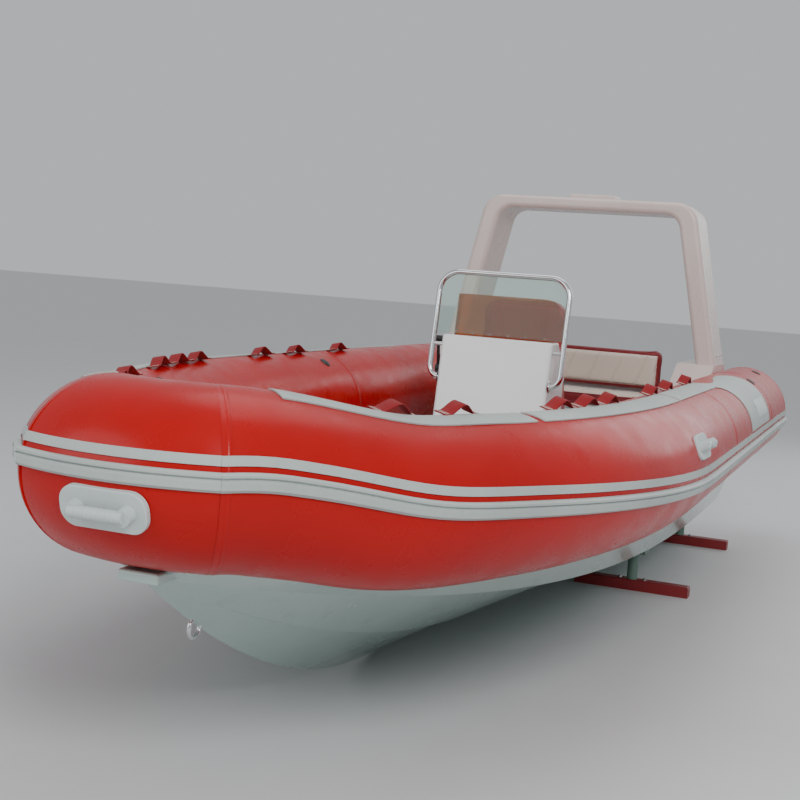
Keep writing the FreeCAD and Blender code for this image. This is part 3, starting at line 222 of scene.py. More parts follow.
LOOKS = {
    "collar_red": finish_of("collar_red", (0.42, 0.001, 0.0015), 0.30, tone=0.07, grain=1500,
                            pattern=soft_waves, Specular_IOR_Level=0.22, Coat_Weight=0.10,
                            Coat_Roughness=0.2),
    "rail_grey": finish_of("rail_grey", (0.42, 0.47, 0.45), 0.5, dirt=0.25,
                           pattern=pebble(700, 0.0003)),
    "hull_white": finish_of("hull_white", (0.40, 0.52, 0.48), 0.22, spread=0.06, tone=0.05,
                            strength=0.08, pattern=soft_waves, dirt=0.3, Coat_Weight=0.6,
                            Coat_Roughness=0.08),
    "gelcoat_white": finish_of("gelcoat_white", (0.80, 0.83, 0.84), 0.2, spread=0.05, tone=0.03,
                               strength=0.08, Coat_Weight=0.6, Coat_Roughness=0.07),
    "deck_grey": finish_of("deck_grey", (0.52, 0.54, 0.52), 0.62, pattern=pebble(160, 0.0012, 0.7),
                           dirt=0.25),
    "arch_cream": finish_of("arch_cream", (0.64, 0.53, 0.49), 0.3, tone=0.05, strength=0.1,
                            pattern=soft_waves, Coat_Weight=0.35, Coat_Roughness=0.15),
    "stainless": finish_of("stainless", (0.62, 0.63, 0.64), 0.14, spread=0.05, tone=0.05,
                           strength=0.05, Metallic=1.0),
    "amber_acrylic": clear("amber_acrylic", (0.55, 0.13, 0.02), 0.03, 0.85),
    "clear_acrylic": clear("clear_acrylic", (0.74, 0.90, 0.84), 0.02, 0.95),
    "seat_red": finish_of("seat_red", (0.34, 0.012, 0.015), 0.42,
                          pattern=pebble(520, 0.0005), Sheen_Weight=0.1),
    "bench_cream": finish_of("bench_cream", (0.62, 0.54, 0.46), 0.46, tone=0.06,
                             pattern=pebble(480, 0.0005), Sheen_Weight=0.1),
    "black_plastic": finish_of("black_plastic", (0.018, 0.018, 0.019), 0.4,
                               pattern=pebble(900, 0.0002)),
    "webbing_red": finish_of("webbing_red", (0.27, 0.002, 0.005), 0.72, pattern=weave(420),
                             Sheen_Weight=0.08, Specular_IOR_Level=0.25),
    "handle_grey": finish_of("handle_grey", (0.53, 0.59, 0.58), 0.42, dirt=0.15,
                             pattern=pebble(600, 0.0003)),
    "stand_red": finish_of("stand_red", (0.22, 0.010, 0.014), 0.45, dirt=0.6,
                           pattern=pebble(90, 0.0006, 0.3)),
    "stand_grey": finish_of("stand_grey", (0.14, 0.22, 0.18), 0.45, dirt=0.6,
                            pattern=pebble(90, 0.0006, 0.3)),
}
PIPING = finish_of("dark_red_piping", (0.20, 0.010, 0.014), 0.45, pattern=pebble(700, 0.0003))
THREAD = finish_of("pale_thread", (0.70, 0.62, 0.55), 0.7, pattern=weave(900))
DIAL = finish_of("dial_face", (0.02, 0.02, 0.022), 0.3, strength=0.05)
MARKS = finish_of("dial_marks", (0.75, 0.75, 0.72), 0.5, strength=0.05)
LENS = clear("lamp_lens", (0.85, 0.86, 0.84), 0.12, 0.6)
FLOOR = finish_of("studio_floor", (0.62, 0.63, 0.64), 0.6, tone=0.015, strength=0.05)



def painted_shade_low(material, low, high, amount, shade_colour):
    """Painted shade: darkens a material towards the keel, by height in the object's own frame,
    where the hull sits in shadow under the tubes.
    """
    tree = material.node_tree
    shader = tree.nodes["Principled BSDF"]
    link = shader.inputs["Base Color"].links[0]
    source = link.from_socket
    place = tree.nodes.new("ShaderNodeTexCoord")
    split = tree.nodes.new("ShaderNodeSeparateXYZ")
    span = tree.nodes.new("ShaderNodeMapRange")
    for key, number in (("From Min", low), ("From Max", high), ("To Min", amount),
                        ("To Max", 0.0)):
        span.inputs[key].default_value = number
    mix = tree.nodes.new("ShaderNodeMix")
    mix.data_type = "RGBA"
    tree.links.new(place.outputs["Object"], split.inputs[0])
    tree.links.new(split.outputs["Z"], span.inputs["Value"])
    tree.links.new(span.outputs["Result"], mix.inputs[0])
    tree.links.new(source, mix.inputs[6])
    mix.inputs[7].default_value = (*shade_colour, 1)
    tree.links.new(mix.outputs[2], shader.inputs["Base Color"])


# Painted shade: the hull is made darker and greener towards the keel to stand in for the shadow
# under the tubes.
painted_shade_low(LOOKS["hull_white"], 0.10, 0.62, 0.65, (0.13, 0.24, 0.20))

for row in frame["record"]["subparts"]:
    node = NODES[row["node"]]
    node.data.materials.clear()
    node.data.materials.append(LOOKS[row["material_slot"]])
    for face in node.data.polygons:
        face.use_smooth = True
    edges = node.modifiers.new("crisp_edges", "EDGE_SPLIT")
    edges.split_angle = math.radians(32)


# ---- mesh helpers -----------------------------------------------------------------------
WELD = 1e-6               # corners closer than this are one point


def piece(name, mesh, look, body, smooth=True):
    """Links a finished mesh as a piece that rides on a CAD body."""
    made = bpy.data.objects.new(name, mesh)
    bpy.context.scene.collection.objects.link(made)
    mesh.materials.clear()
    mesh.materials.append(look)
    for face in mesh.polygons:
        face.use_smooth = smooth
    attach(made, body)
    return made


def mesh_of(name, build):
    bm = bmesh.new()
    build(bm)
    bmesh.ops.recalc_face_normals(bm, faces=bm.faces)
    mesh = bpy.data.meshes.new(name)
    bm.to_mesh(mesh)
    bm.free()
    return mesh


def frame_at(place, out, along=None):
    """Matrix whose Z is out and whose X is near along."""
    z = Vector(out).normalized()
    x = Vector(along) if along is not None else Vector((0, 0, 1)).cross(z)
    if x.length < 1e-6:
        x = Vector((1, 0, 0))
    x = (x - z * x.dot(z)).normalized()
    y = z.cross(x)
    return Matrix(((x.x, y.x, z.x, place[0]), (x.y, y.y, z.y, place[1]),
                   (x.z, y.z, z.z, place[2]), (0, 0, 0, 1)))


def lathe(bm, profile, where, steps=32):
    """Turns a profile of (radius, height) pairs about the local Z."""
    rings = []
    for r, h in profile:
        if r < 1e-6:
            rings.append([bm.verts.new(where @ Vector((0, 0, h)))])
            continue
        rings.append([bm.verts.new(where @ Vector((r * math.cos(a), r * math.sin(a), h)))
                      for a in (2 * math.pi * i / steps for i in range(steps))])
    for one, two in zip(rings, rings[1:]):
        for i in range(steps):
            j = (i + 1) % steps
            quad = [one[i % len(one)], one[j % len(one)], two[j % len(two)], two[i % len(two)]]
            quad = list(dict.fromkeys(quad))
            if len(quad) > 2:
                bm.faces.new(quad)


def tube_along(bm, points, radius, closed=False, steps=10, flat=1.0, up=None):
    """A round or flattened tube through points."""
    count = len(points)
    closed = closed and count > 2
    rings = []
    last = Vector(up) if up is not None else Vector((0, 0, 1))
    for i, p in enumerate(points):
        before = points[(i - 1) % count] if closed or i else points[i]
        after = points[(i + 1) % count] if closed or i < count - 1 else points[i]
        t = (Vector(after) - Vector(before)).normalized()
        side = t.cross(last)
        if side.length < 1e-4:
            side = t.cross(Vector((1, 0.3, 0.1)))
        side.normalize()
        top = side.cross(t)
        last = top
        rings.append([bm.verts.new(Vector(p) + side * (radius * math.cos(a))
                                   + top * (radius * flat * math.sin(a)))
                      for a in (2 * math.pi * k / steps for k in range(steps))])
    pairs = list(zip(rings, rings[1:])) + ([(rings[-1], rings[0])] if closed else [])
    for one, two in pairs:
        for k in range(steps):
            j = (k + 1) % steps
            bm.faces.new((one[k], one[j], two[j], two[k]))
    if not closed:
        bm.faces.new(rings[0][::-1])
        bm.faces.new(rings[-1])


SCREW = ((0.0, 0.0022), (0.0012, 0.0022), (0.0015, 0.0016), (0.0032, 0.0019), (0.0047, 0.0012),
         (0.0052, 0.0), (0.0052, -0.001))
BOLT = ((0.0, 0.009), (0.008, 0.009), (0.009, 0.008), (0.009, 0.002), (0.014, 0.002),
        (0.014, 0.0), (0.014, -0.001))


def screws(name, places, look, body, profile=SCREW, size=1.0):
    """One mesh of screw heads; places are (point, outward direction) pairs."""
    def build(bm):
        for place, out in places:
            lathe(bm, [(r * size, h * size) for r, h in profile], frame_at(place, out),
                  6 if profile is BOLT else 20)
    return piece(name, mesh_of(name, build), look, body, profile is not BOLT)


def cut_line(mesh, point, normal):
    """Longest closed line in which a plane cuts a mesh, walked in vertex order."""
    bm = bmesh.new()
    bm.from_mesh(mesh)
    bmesh.ops.remove_doubles(bm, verts=bm.verts, dist=WELD)
    cut = bmesh.ops.bisect_plane(bm, geom=bm.verts[:] + bm.edges[:] + bm.faces[:],
                                 plane_co=point, plane_no=normal)["geom_cut"]
    bm.verts.index_update()
    bm.verts.ensure_lookup_table()
    nearby = {}
    for e in cut:
        if isinstance(e, bmesh.types.BMEdge):
            for v in e.verts:
                nearby.setdefault(v.index, []).append(e.other_vert(v).index)
    best, left = [], set(nearby)
    for start in sorted(nearby):
        if start not in left:
            continue
        left.discard(start)
        line, here = [start], start
        while True:
            onward = [i for i in nearby[here] if i in left]
            if not onward:
                break
            here = min(onward)
            left.discard(here)
            line.append(here)
        if len(line) > len(best):
            best = line
    places = [bm.verts[i].co.copy() for i in best]
    bm.free()
    return places


def outline_of(node, point, normal):
    """The line in which a plane cuts a CAD node, as (point, outward) pairs."""
    line = cut_line(NODES[node].data, point, normal)
    middle = sum(line, Vector()) / len(line)
    n = Vector(normal).normalized()
    out = []
    for p in line:
        radial = p - middle
        radial -= n * radial.dot(n)
        out.append((p, radial.normalized()))
    return out


def tape(bm, outline, normal, width, thick):
    """A thin band that follows an outline: two edges on the skin and a raised middle."""
    n = Vector(normal).normalized()
    rows = []
    for shift, lift in ((-0.5, 0.0), (-0.46, 1.0), (0.46, 1.0), (0.5, 0.0)):
        rows.append([bm.verts.new(p + n * (shift * width) + r * (lift * thick - 0.0004))
                     for p, r in outline])
    count = len(outline)
    for one, two in zip(rows, rows[1:]):
        for i in range(count):
            j = (i + 1) % count
            bm.faces.new((one[i], one[j], two[j], two[i]))


# ---- collar details ---------------------------------------------------------------------
TUBE_R = 0.25
TUBE_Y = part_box("tail_cone_port")[0].y + TUBE_R
TUBE_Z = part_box("tail_cone_port")[0].z + TUBE_R
CONE_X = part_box("tail_cone_port")[1].x
CURVE_X = 0.43            # the tubes are straight aft of here
BOW_SEAM = (2.588, 0.144, 0.888)
BOW_SEAM_TURN = math.radians(125.5)


def seam_tapes(bm):
    for x in (CONE_X + 0.02, -1.78, -0.30):
        for side in (1, -1):
            node = "tube_port" if side > 0 else "tube_starboard"
            tape(bm, outline_of(node, (x, side * TUBE_Y, TUBE_Z), (1, 0, 0)), (1, 0, 0),
                 0.036, 0.0012)
    for side in (1, -1):
        node = "tube_port" if side > 0 else "tube_starboard"
        n = Vector((math.cos(BOW_SEAM_TURN), side * math.sin(BOW_SEAM_TURN), 0))
        seam = Vector((BOW_SEAM[0], side * BOW_SEAM[1], BOW_SEAM[2])) + n * 0.010
        tape(bm, outline_of(node, seam, n), n, 0.016, 0.0011)


piece("collar_seam_tapes", mesh_of("collar_seam_tapes", seam_tapes), LOOKS["collar_red"], "boat")

VALVE_PLACES = ((1.62, 118), (-0.12, 122), (-1.70, 60), (-2.30, 70))   # x, angle on the tube
VALVE = ((0.0, 0.007), (0.010, 0.007), (0.012, 0.0055), (0.012, 0.004), (0.0135, 0.004),
         (0.0135, 0.0055), (0.021, 0.005), (0.026, 0.0025), (0.027, -0.002))


def valves(bm):
    for x, angle in VALVE_PLACES:
        for side in (1, -1):
            a = math.radians(angle)
            out = Vector((0, side * math.cos(a), math.sin(a)))
            hub = Vector((x, side * TUBE_Y, TUBE_Z))
            if x > CURVE_X:
                line = outline_of("tube_port" if side > 0 else "tube_starboard", hub, (1, 0, 0))
                place = max(line, key=lambda pr: pr[1].dot(out))[0]
            else:
                place = hub + out * TUBE_R
            lathe(bm, VALVE, frame_at(place, out), 28)


piece("inflation_valves", mesh_of("inflation_valves", valves), LOOKS["black_plastic"], "boat")


def islands(node):
    """Vertex places of each separate solid of a node, in vertex order."""
    bm = bmesh.new()
    bm.from_mesh(NODES[node].data)
    bmesh.ops.remove_doubles(bm, verts=bm.verts, dist=WELD)
    bm.verts.index_update()
    seen, found = set(), []
    for first in bm.verts:
        if first.index in seen:
            continue
        seen.add(first.index)
        stack, group = [first], []
        while stack:
            v = stack.pop()
            group.append(v)
            for e in v.link_edges:
                w = e.other_vert(v)
                if w.index not in seen:
                    seen.add(w.index)
                    stack.append(w)
        found.append([v.co.copy() for v in sorted(group, key=lambda v: v.index)])
    bm.free()
    return found


def strap_frame(group):
    """Place of a webbing loop: middle of its feet, its run, its lift and half its span."""
    low = min(p.z for p in group)
    lo, hi = min(p.x for p in group), max(p.x for p in group)
    fore = [p for p in group if p.x > hi - 0.012]
    aft = [p for p in group if p.x < lo + 0.012]
    a, b = sum(fore, Vector()) / len(fore), sum(aft, Vector()) / len(aft)
    middle = (a + b) / 2
    along = (a - b).normalized()
    top = max(group, key=lambda p: (p - middle).z)
    out = top - middle
    out = out - along * out.dot(along)
    out = Vector((0, out.y, out.z)).normalized()
    out = (out - along * out.dot(along)).normalized()
    return middle, along, out, (a - b).length / 2


STRAP_FOOT = 0.026
STRAP_RISE = 0.031
STRAP_HALF_WIDTH = 0.0225
STRAP_HALF_THICK = 0.0019


def strap_height(u, half):
    """Height of a strap over its feet at u along its span."""
    if abs(u) > half - STRAP_FOOT:
        return 0.0
    k = abs(u) / (half - STRAP_FOOT)
    return STRAP_RISE * (1 - k * k * (3 - 2 * k)) ** 0.85


STRAPS = [strap_frame(g) for node in ("hand_loops_port", "hand_loops_starboard")
          for g in islands(node)]


def straps_for(side):
    def build(bm):
        for middle, along, out, half in STRAPS:
            if middle.y * side < 0:
                continue
            across = along.cross(out).normalized()
            rows = []
            for i in range(41):
                u = half * (1 - i / 20)
                base = middle + along * u + out * strap_height(u, half)
                ahead = along * (u + 0.001) + out * strap_height(u + 0.001, half)
                here = along * u + out * strap_height(u, half)
                n = (ahead - here).cross(across).normalized()
                if n.dot(out) < 0:
                    n = -n
                rows.append([bm.verts.new(base + across * (STRAP_HALF_WIDTH * c)
                                          + n * (STRAP_HALF_THICK * t))
                             for c, t in ((-1, -0.6), (-1, 0.6), (-0.94, 1), (0.94, 1),
                                          (1, 0.6), (1, -0.6), (0.94, -1), (-0.94, -1))])
            for one, two in zip(rows, rows[1:]):
                for k in range(8):
                    j = (k + 1) % 8
                    bm.faces.new((one[k], one[j], two[j], two[k]))
            bm.faces.new(rows[0][::-1])
            bm.faces.new(rows[-1])
    return build


for side, word in ((1, "port"), (-1, "starboard")):
    straps = piece("webbing_straps_" + word, mesh_of("webbing_straps_" + word, straps_for(side)),
                   LOOKS["webbing_red"], "boat")
    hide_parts("hand_loops_" + word)


def loop_feet(bm):
    """Sewn box of stitches on each foot of the webbing straps."""
    for middle, along, out, half in STRAPS:
        for sign in (-1, 1):
            m = frame_at(middle + along * (sign * (half - 0.014)) + out * 0.0021, out, along)
            box = [(-0.010, -0.017), (0.010, -0.017), (0.010, 0.017), (-0.010, 0.017)]
            lines = list(zip(box, box[1:] + box[:1])) + [(box[0], box[2]), (box[1], box[3])]
            for (x0, y0), (x1, y1) in lines:
                tube_along(bm, [m @ Vector((x0, y0, 0)), m @ Vector((x1, y1, 0))], 0.0006,
                           steps=5)


piece("loop_stitching", mesh_of("loop_stitching", loop_feet), THREAD, "boat")


def grip_ribs(bm):
    """Raised rings on the lifting handles' grips."""
    for node, rings in (("carry_handle_bow", 9), ("carry_handle_port", 7),
                        ("carry_handle_starboard", 7)):
        mesh = NODES[node].data
        points = [v.co for v in mesh.vertices]
        middle = sum(points, Vector()) / len(points)
        if node == "carry_handle_bow":
            along, out = Vector((0, 1, 0)), Vector((0.968, 0, -0.25))
        else:
            lo = min(points, key=lambda p: p.x)
            hi = max(points, key=lambda p: p.x)
            along = Vector((hi.x - lo.x, hi.y - lo.y, hi.z - lo.z)).normalized()
            side = 1 if middle.y > 0 else -1
            out = Vector((0, side * 0.92, 0.39))
            out = (out - along * out.dot(along)).normalized()
        reach = max((p - middle).dot(out) for p in points)
        radius = 0.0160 if node == "carry_handle_bow" else 0.0138
        centre = middle + out * (reach - radius)
        span = 0.052 if node == "carry_handle_bow" else 0.042
        for i in range(rings):
            u = -span + 2 * span * i / (rings - 1)
            m = frame_at(centre + along * u, along, out)
            lathe(bm, [(radius * 0.99, -0.0022), (radius + 0.0012, -0.0008),
                       (radius + 0.0012, 0.0008), (radius * 0.99, 0.0022)], m, 24)


piece("handle_grip_ribs", mesh_of("handle_grip_ribs", grip_ribs), LOOKS["handle_grey"], "boat")


# ---- padded seats -----------------------------------------------------------------------
def inflate(name, node, cap, voxel, shrink, pressure=4.0):
    """Copies a CAD pad, remeshes it and swells it as cloth; returns the new mesh."""
    mesh = NODES[node].data.copy()
    mesh.name = name
    middle = (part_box(node)[0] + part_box(node)[1]) / 2
    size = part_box(node)[1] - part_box(node)[0]
    for v in mesh.vertices:
        for i in range(3):
            v.co[i] = middle[i] + (v.co[i] - middle[i]) * (1 - 2 * shrink / size[i])
    pad = bpy.data.objects.new(name + "_form", mesh)
    bpy.context.scene.collection.objects.link(pad)
    remesh = pad.modifiers.new("voxels", "REMESH")
    remesh.mode, remesh.voxel_size, remesh.adaptivity = "VOXEL", voxel, 0.0
    graph = bpy.context.evaluated_depsgraph_get()
    shaped = bpy.data.meshes.new_from_object(pad.evaluated_get(graph))
    pad.modifiers.clear()
    pad.data = shaped
    start = [v.co.copy() for v in shaped.vertices]
    cloth = pad.modifiers.new("swell", "CLOTH")
    cloth.settings.use_pressure = True
    cloth.settings.uniform_pressure_force = pressure
    cloth.settings.effector_weights.gravity = 0
    cloth.settings.quality = 5
    cloth.settings.tension_stiffness = 15
    cloth.settings.compression_stiffness = 15
    cloth.settings.bending_stiffness = 1.5
    for step in range(1, 21):
        bpy.context.scene.frame_set(step)
    graph = bpy.context.evaluated_depsgraph_get()
    swollen = bpy.data.meshes.new_from_object(pad.evaluated_get(graph))
    bpy.context.scene.frame_set(1)
    for v, rest in zip(swollen.vertices, start):
        move = v.co - rest
        if move.length > cap:
            v.co = rest + move * (cap / move.length)
    pad.modifiers.clear()
    pad.data = swollen
    more = pad.modifiers.new("finer", "SUBSURF")
    more.levels = more.render_levels = 1
    graph = bpy.context.evaluated_depsgraph_get()
    final = bpy.data.meshes.new_from_object(pad.evaluated_get(graph))
    final.name = name
    bpy.data.objects.remove(pad)
    return final


def evened(line, step):
    """The same closed line with points at even spacing."""
    out, carry = [line[0]], 0.0
    for a, b in zip(line, line[1:] + line[:1]):
        d = (b - a).length
        while carry + d >= step and d > 0:
            a = a + (b - a) * ((step - carry) / d)
            out.append(a.copy())
            d = (b - a).length
            carry = 0.0
        carry += d
    return out[:-1] if (out[-1] - out[0]).length < step * 0.5 else out


def pad_frame(node):
    """Middle, width, height and face directions of a CAD pad: u across, v up, w outward."""
    mesh = NODES[node].data
    best = max((f for f in mesh.polygons if abs(f.normal.y) < 0.5), key=lambda f: f.area)
    w = best.normal.copy()
    if (w.x < -0.5) or (abs(w.x) <= 0.5 and w.z < 0):
        w = -w
    u = Vector((0, 1, 0))
    v = w.cross(u).normalized()
    if v.z < -0.01 or (abs(v.z) <= 0.3 and v.x > 0):
        v = -v
    places = [p.co for p in mesh.vertices]
    spans = []
    for axis in (u, v, w):
        along = [p.dot(axis) for p in places]
        spans.append((min(along), max(along)))
    middle = sum(((lo + hi) / 2 * axis for (lo, hi), axis in zip(spans, (u, v, w))), Vector())
    return middle, u, v, w, [hi - lo for lo, hi in spans]


def upholster(node, name, look, body, channels, border, cap=0.014, voxel=0.006,
              trim=None, groove=0.007, slant=0.0, both=False):
    """A stuffed pad with sewn channels, a border and piping, in place of a CAD pad."""
    middle, u, v, w, size = pad_frame(node)
    mesh = inflate(name, node, cap, voxel, 0.006)
    half = [s / 2 for s in size]
    lines = [half[0] * c for c in channels]
    for p in mesh.vertices:
        r = p.co - middle
        a, b, c = r.dot(u), r.dot(v), r.dot(w)
        if c < 0 and not both:
            continue
        deep = 0.0
        inside = min(half[0] - border - abs(a), half[1] - border - abs(b))
        if inside > -0.004:
            for place in lines:
                off = abs(a - place - slant * b) / 0.006
                if off < 3:
                    deep = max(deep, math.exp(-off * off))
            deep *= min(1.0, max(0.0, (inside + 0.004) / 0.012))
        off = abs(inside) / 0.005
        if border and off < 3:
            deep = max(deep, math.exp(-off * off))
        p.co -= (w if c > 0 else -w) * (groove * deep)
    made = piece(name, mesh, look, body)
    if trim is not None and border:
        mesh.materials.append(trim)
        for f in mesh.polygons:
            r = f.center - middle
            if min(half[0] - border - abs(r.dot(u)), half[1] - border - abs(r.dot(v))) < 0:
                f.material_index = 1
    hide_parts(node)

    def welts(bm):
        for level in (0.62, -0.62):
            ring = evened(cut_line(mesh, middle + w * (half[2] * level), w), 0.012)
            tube_along(bm, ring, 0.0042, closed=True, steps=8, up=w)
    piece(name + "_piping", mesh_of(name + "_piping", welts), PIPING, body)
    return made


upholster("helm_backrest", "helm_back_pad", LOOKS["seat_red"], "boat",
          (-0.5, 0.0, 0.5), 0.045)
upholster("helm_seat_cushion", "helm_seat_pad", LOOKS["seat_red"], "helm_lid",
          (-0.5, 0.0, 0.5), 0.045)
upholster("bench_backrest", "bench_back_pad", LOOKS["bench_cream"], "boat",
          (-0.78, -0.52, -0.26, 0.0, 0.26, 0.52, 0.78), 0.036, voxel=0.007, trim=PIPING,
          slant=0.35)
upholster("bench_cushion", "bench_seat_pad", LOOKS["bench_cream"], "bench_lid",
          (-0.78, -0.52, -0.26, 0.0, 0.26, 0.52, 0.78), 0.036, voxel=0.007, trim=PIPING)


# ---- rays onto the CAD nodes --------------------------------------------------------------
TREES = {}


def touch(node, start, way):
    """Where a ray meets a CAD node, and the face's outward direction."""
    if node not in TREES:
        mesh = NODES[node].data
        TREES[node] = BVHTree.FromPolygons([v.co.copy() for v in mesh.vertices],
                                           [tuple(f.vertices) for f in mesh.polygons])
    place, normal, _, _ = TREES[node].ray_cast(Vector(start), Vector(way).normalized())
    if place is None:
        return None
    if normal.dot(Vector(way)) > 0:
        normal = -normal
    return place, normal


def touches(node, starts, way):
    return [t for t in (touch(node, s, way) for s in starts) if t]


# ---- console details ----------------------------------------------------------------------
screen_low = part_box("windscreen")[0]
screws("windscreen_screws",
       touches("windscreen", [(1, y, screen_low.z + 0.014)
                              for y in (-0.22, -0.13, -0.045, 0.045, 0.13, 0.22)], (-1, 0, 0))
       + touches("windscreen", [(screen_low.x + 0.05, s, screen_low.z + 0.014)
                                for s in (1, -1)], (0, 0, -1)),
       LOOKS["stainless"], "boat")


def face_of(node, way):
    """Middle and direction of the part of a node that faces a way."""
    way = Vector(way).normalized()
    mesh = NODES[node].data
    area, place, normal = 0.0, Vector(), Vector()
    for f in mesh.polygons:
        if f.normal.dot(way) > 0.8:
            area += f.area
            place += f.center * f.area
            normal += f.normal * f.area
    return place / area, normal.normalized()


def instruments():
    centre, out = face_of("dash_panel", (-0.7, 0, 0.7))
    m = frame_at(centre, out, (0, 1, 0))
    bezels = ((0.026, 0.0), (0.0285, 0.003), (0.0285, 0.006), (0.0265, 0.0075),
              (0.0245, 0.0075), (0.0235, 0.003))

    def rims(bm):
        for u in (-0.14, -0.07, 0.07, 0.14):
            lathe(bm, bezels, m @ Matrix.Translation((u, 0, 0)), 36)
    piece("gauge_rims", mesh_of("gauge_rims", rims), LOOKS["stainless"], "boat")

    def faces(bm):
        for u in (-0.14, -0.07, 0.07, 0.14):
            lathe(bm, [(0.0, 0.0035), (0.024, 0.0035), (0.0245, 0.001)],
                  m @ Matrix.Translation((u, 0, 0)), 32)
    piece("gauge_faces", mesh_of("gauge_faces", faces), DIAL, "boat")

    def ticks(bm):
        for u in (-0.14, -0.07, 0.07, 0.14):
            for i in range(11):
                a = math.radians(-40 + 26 * i)
                w = m @ Matrix.Translation((u, 0, 0.0037))
                r0, r1 = (0.017, 0.021)
                tube_along(bm, [w @ Vector((r0 * math.cos(a), r0 * math.sin(a), 0)),
                                w @ Vector((r1 * math.cos(a), r1 * math.sin(a), 0))],
                           0.0006, steps=4)
            a = math.radians(150)
            tube_along(bm, [w @ Vector((0, 0, 0.001)),
                            w @ Vector((0.017 * math.cos(a), 0.017 * math.sin(a), 0.001))],
                       0.0009, steps=6)
            lathe(bm, [(0.0, 0.003), (0.0025, 0.0025), (0.003, 0.0)],
                  m @ Matrix.Translation((u, 0, 0.0035)), 12)
    piece("gauge_marks", mesh_of("gauge_marks", ticks), MARKS, "boat")

    def switches(bm):
        for i in range(5):
            w = m @ Matrix.Translation((-0.032 + 0.016 * i, 0, 0))
            lathe(bm, [(0.0, 0.012), (0.0022, 0.0115), (0.0028, 0.009), (0.002, 0.003),
                       (0.0055, 0.003), (0.006, 0.0)], w, 14)
    piece("toggle_switches", mesh_of("toggle_switches", switches), LOOKS["stainless"], "boat")


instruments()

def console_seam(bm):
    """Sealant bead round the console's foot."""
    foot = (0, 0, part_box("console")[0].z + 0.006)
    ring = evened(cut_line(NODES["console"].data, foot, (0, 0, 1)), 0.02)
    tube_along(bm, ring, 0.006, closed=True, steps=8)


piece("console_foot_bead", mesh_of("console_foot_bead", console_seam), LOOKS["rail_grey"],
      "boat")


def rail_flanges(bm):
    """Round plates where the hoop's legs meet the console."""
    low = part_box("hoop_rail")[0].z
    points = [v.co for v in NODES["hoop_rail"].data.vertices if v.co.z < low + 0.03]
    for side in (1, -1):
        near = [p for p in points if p.y * side > 0]
        if not near:
            continue
        c = sum(near, Vector()) / len(near)
        hit = touch("console", (c.x, side * 1.0, c.z), (0, -side, 0))
        if hit:
            lathe(bm, [(0.0, 0.004), (0.026, 0.004), (0.030, 0.002), (0.031, 0.0)],
                  frame_at(hit[0], hit[1]), 28)


piece("hoop_flanges", mesh_of("hoop_flanges", rail_flanges), LOOKS["stainless"], "boat")


def door_trim(bm):
    """Slam latch with a ring on the console door."""
    low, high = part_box("console_door")
    hit = touch("console_door", (-2, low.y + 0.05, (low.z + high.z) / 2), (1, 0, 0))
    if hit:
        lathe(bm, [(0.0, 0.003), (0.012, 0.003), (0.014, 0.005), (0.021, 0.005),
                   (0.023, 0.003), (0.024, 0.0)], frame_at(*hit), 28)


piece("door_latch", mesh_of("door_latch", door_trim), LOOKS["stainless"], "console_door")


def lid_latch(bm):
    low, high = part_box("bow_locker_lid")
    hit = touch("bow_locker_lid", (low.x + 0.06, 0, 2), (0, 0, -1))
    if hit:
        lathe(bm, [(0.0, 0.0022), (0.012, 0.0022), (0.014, 0.0045), (0.021, 0.0045),
                   (0.023, 0.003), (0.024, 0.0)], frame_at(*hit), 28)


piece("locker_latch", mesh_of("locker_latch", lid_latch), LOOKS["stainless"], "locker_lid")


# ---- arch, transom and stand details --------------------------------------------------------
def arch_seam(bm):
    low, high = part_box("arch")
    top = high.z
    for side in (1, -1):
        line = []
        for i in range(24):
            x = low.x + 0.03 + (high.x - low.x - 0.06) * i / 23
            hit = touch("arch", (x, side * 0.5, top + 0.5), (0, 0, -1))
            if hit:
                line.append(hit[0])
        if len(line) > 3:
            tube_along(bm, line, 0.0022, steps=6)


piece("arch_panel_joint", mesh_of("arch_panel_joint", arch_seam), LOOKS["rail_grey"], "boat")

arch_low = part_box("arch")[0]
screws("coaming_bolts",
       touches("arch", [(arch_low.x + dx, s * 1.6, arch_low.z + 0.05)
                        for dx in (0.06, 0.16, 0.26) for s in (1, -1)], (0, -1, 0))
       + touches("arch", [(arch_low.x + dx, -1.6, arch_low.z + 0.05)
                          for dx in (0.06, 0.16, 0.26)], (0, 1, 0)),
       LOOKS["stainless"], "boat", size=1.6)


def light_lens(bm):
    low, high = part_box("arch_light")
    c = (low + high) / 2
    lathe(bm, [(0.0, 0.009), (0.012, 0.008), (0.019, 0.005), (0.022, 0.0)],
          frame_at((c.x, c.y, high.z - 0.001), (0, 0, 1)), 28)


piece("anchor_light_lens", mesh_of("anchor_light_lens", light_lens), LENS, "boat")


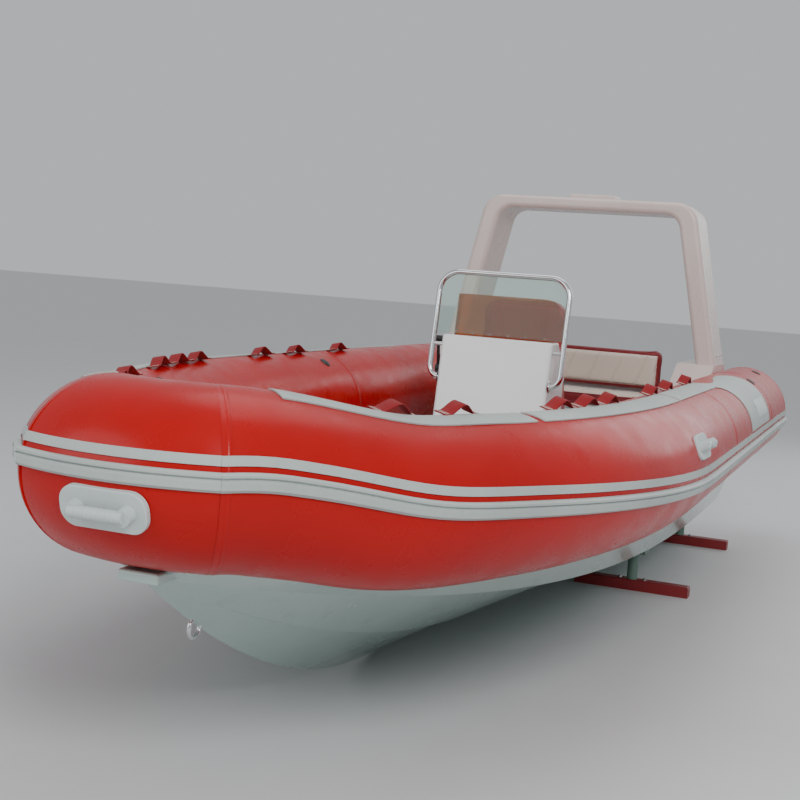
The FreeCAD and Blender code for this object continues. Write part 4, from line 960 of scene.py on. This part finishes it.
def drain_fittings(bm):
    for y, z in ((0.0, 0.33), (0.22, 0.55), (-0.22, 0.55)):
        hit = touch("transom", (-4, y, z), (1, 0, 0)) or touch("hull", (-4, y, z), (1, 0, 0))
        if hit:
            lathe(bm, [(0.0, 0.002), (0.010, 0.002), (0.011, 0.006), (0.020, 0.006),
                       (0.024, 0.003), (0.025, 0.0)], frame_at(*hit), 28)


piece("transom_drains", mesh_of("transom_drains", drain_fittings), LOOKS["stainless"], "boat")


def towing_eyes(bm):
    for side in (1, -1):
        hit = touch("transom", (-4, side * 0.42, 0.60), (1, 0, 0))
        if not hit:
            continue
        m = frame_at(hit[0], hit[1], (0, 0, 1))
        for u in (-0.03, 0.03):
            lathe(bm, [(0.0, 0.004), (0.013, 0.004), (0.016, 0.0)],
                  m @ Matrix.Translation((u, 0, 0)), 20)
        arc = [m @ Vector((0.03 * math.cos(a), 0, 0.038 * math.sin(a)))
               for a in (math.pi * i / 16 for i in range(17))]
        tube_along(bm, arc, 0.005, steps=10)


piece("towing_eyes", mesh_of("towing_eyes", towing_eyes), LOOKS["stainless"], "boat")


def plate_rivets():
    spots = []
    for side in (1, -1):
        node = "name_plate_port" if side > 0 else "name_plate_starboard"
        low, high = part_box(node)
        for x in (low.x + 0.03, high.x - 0.03):
            for z in (low.z + 0.025, high.z - 0.025):
                spots += touches(node, [(x, side * 3, z)], (0, -side, 0))
    screws("plate_rivets", spots, LOOKS["stainless"], "boat", size=0.9)


plate_rivets()


def stand_bolts():
    spots = []
    for x in (-2.205, -0.805):
        for side in (1, -1):
            for dy in (-0.06, 0.06):
                spots += touches("stand_feet", [(x, side * (0.65 + dy), 2)], (0, 0, -1))
    screws("stand_bolts", spots, LOOKS["stainless"], "boat", profile=BOLT)


stand_bolts()


# ---- floor ----------------------------------------------------------------------------------
def floor_sheet(bm):
    reach = 60
    bm.faces.new([bm.verts.new(p) for p in ((-reach, -reach, 0), (reach, -reach, 0),
                                            (reach, reach, 0), (-reach, reach, 0))])


ground = bpy.data.objects.new("studio_floor", mesh_of("studio_floor", floor_sheet))
bpy.context.scene.collection.objects.link(ground)
ground.data.materials.append(FLOOR)
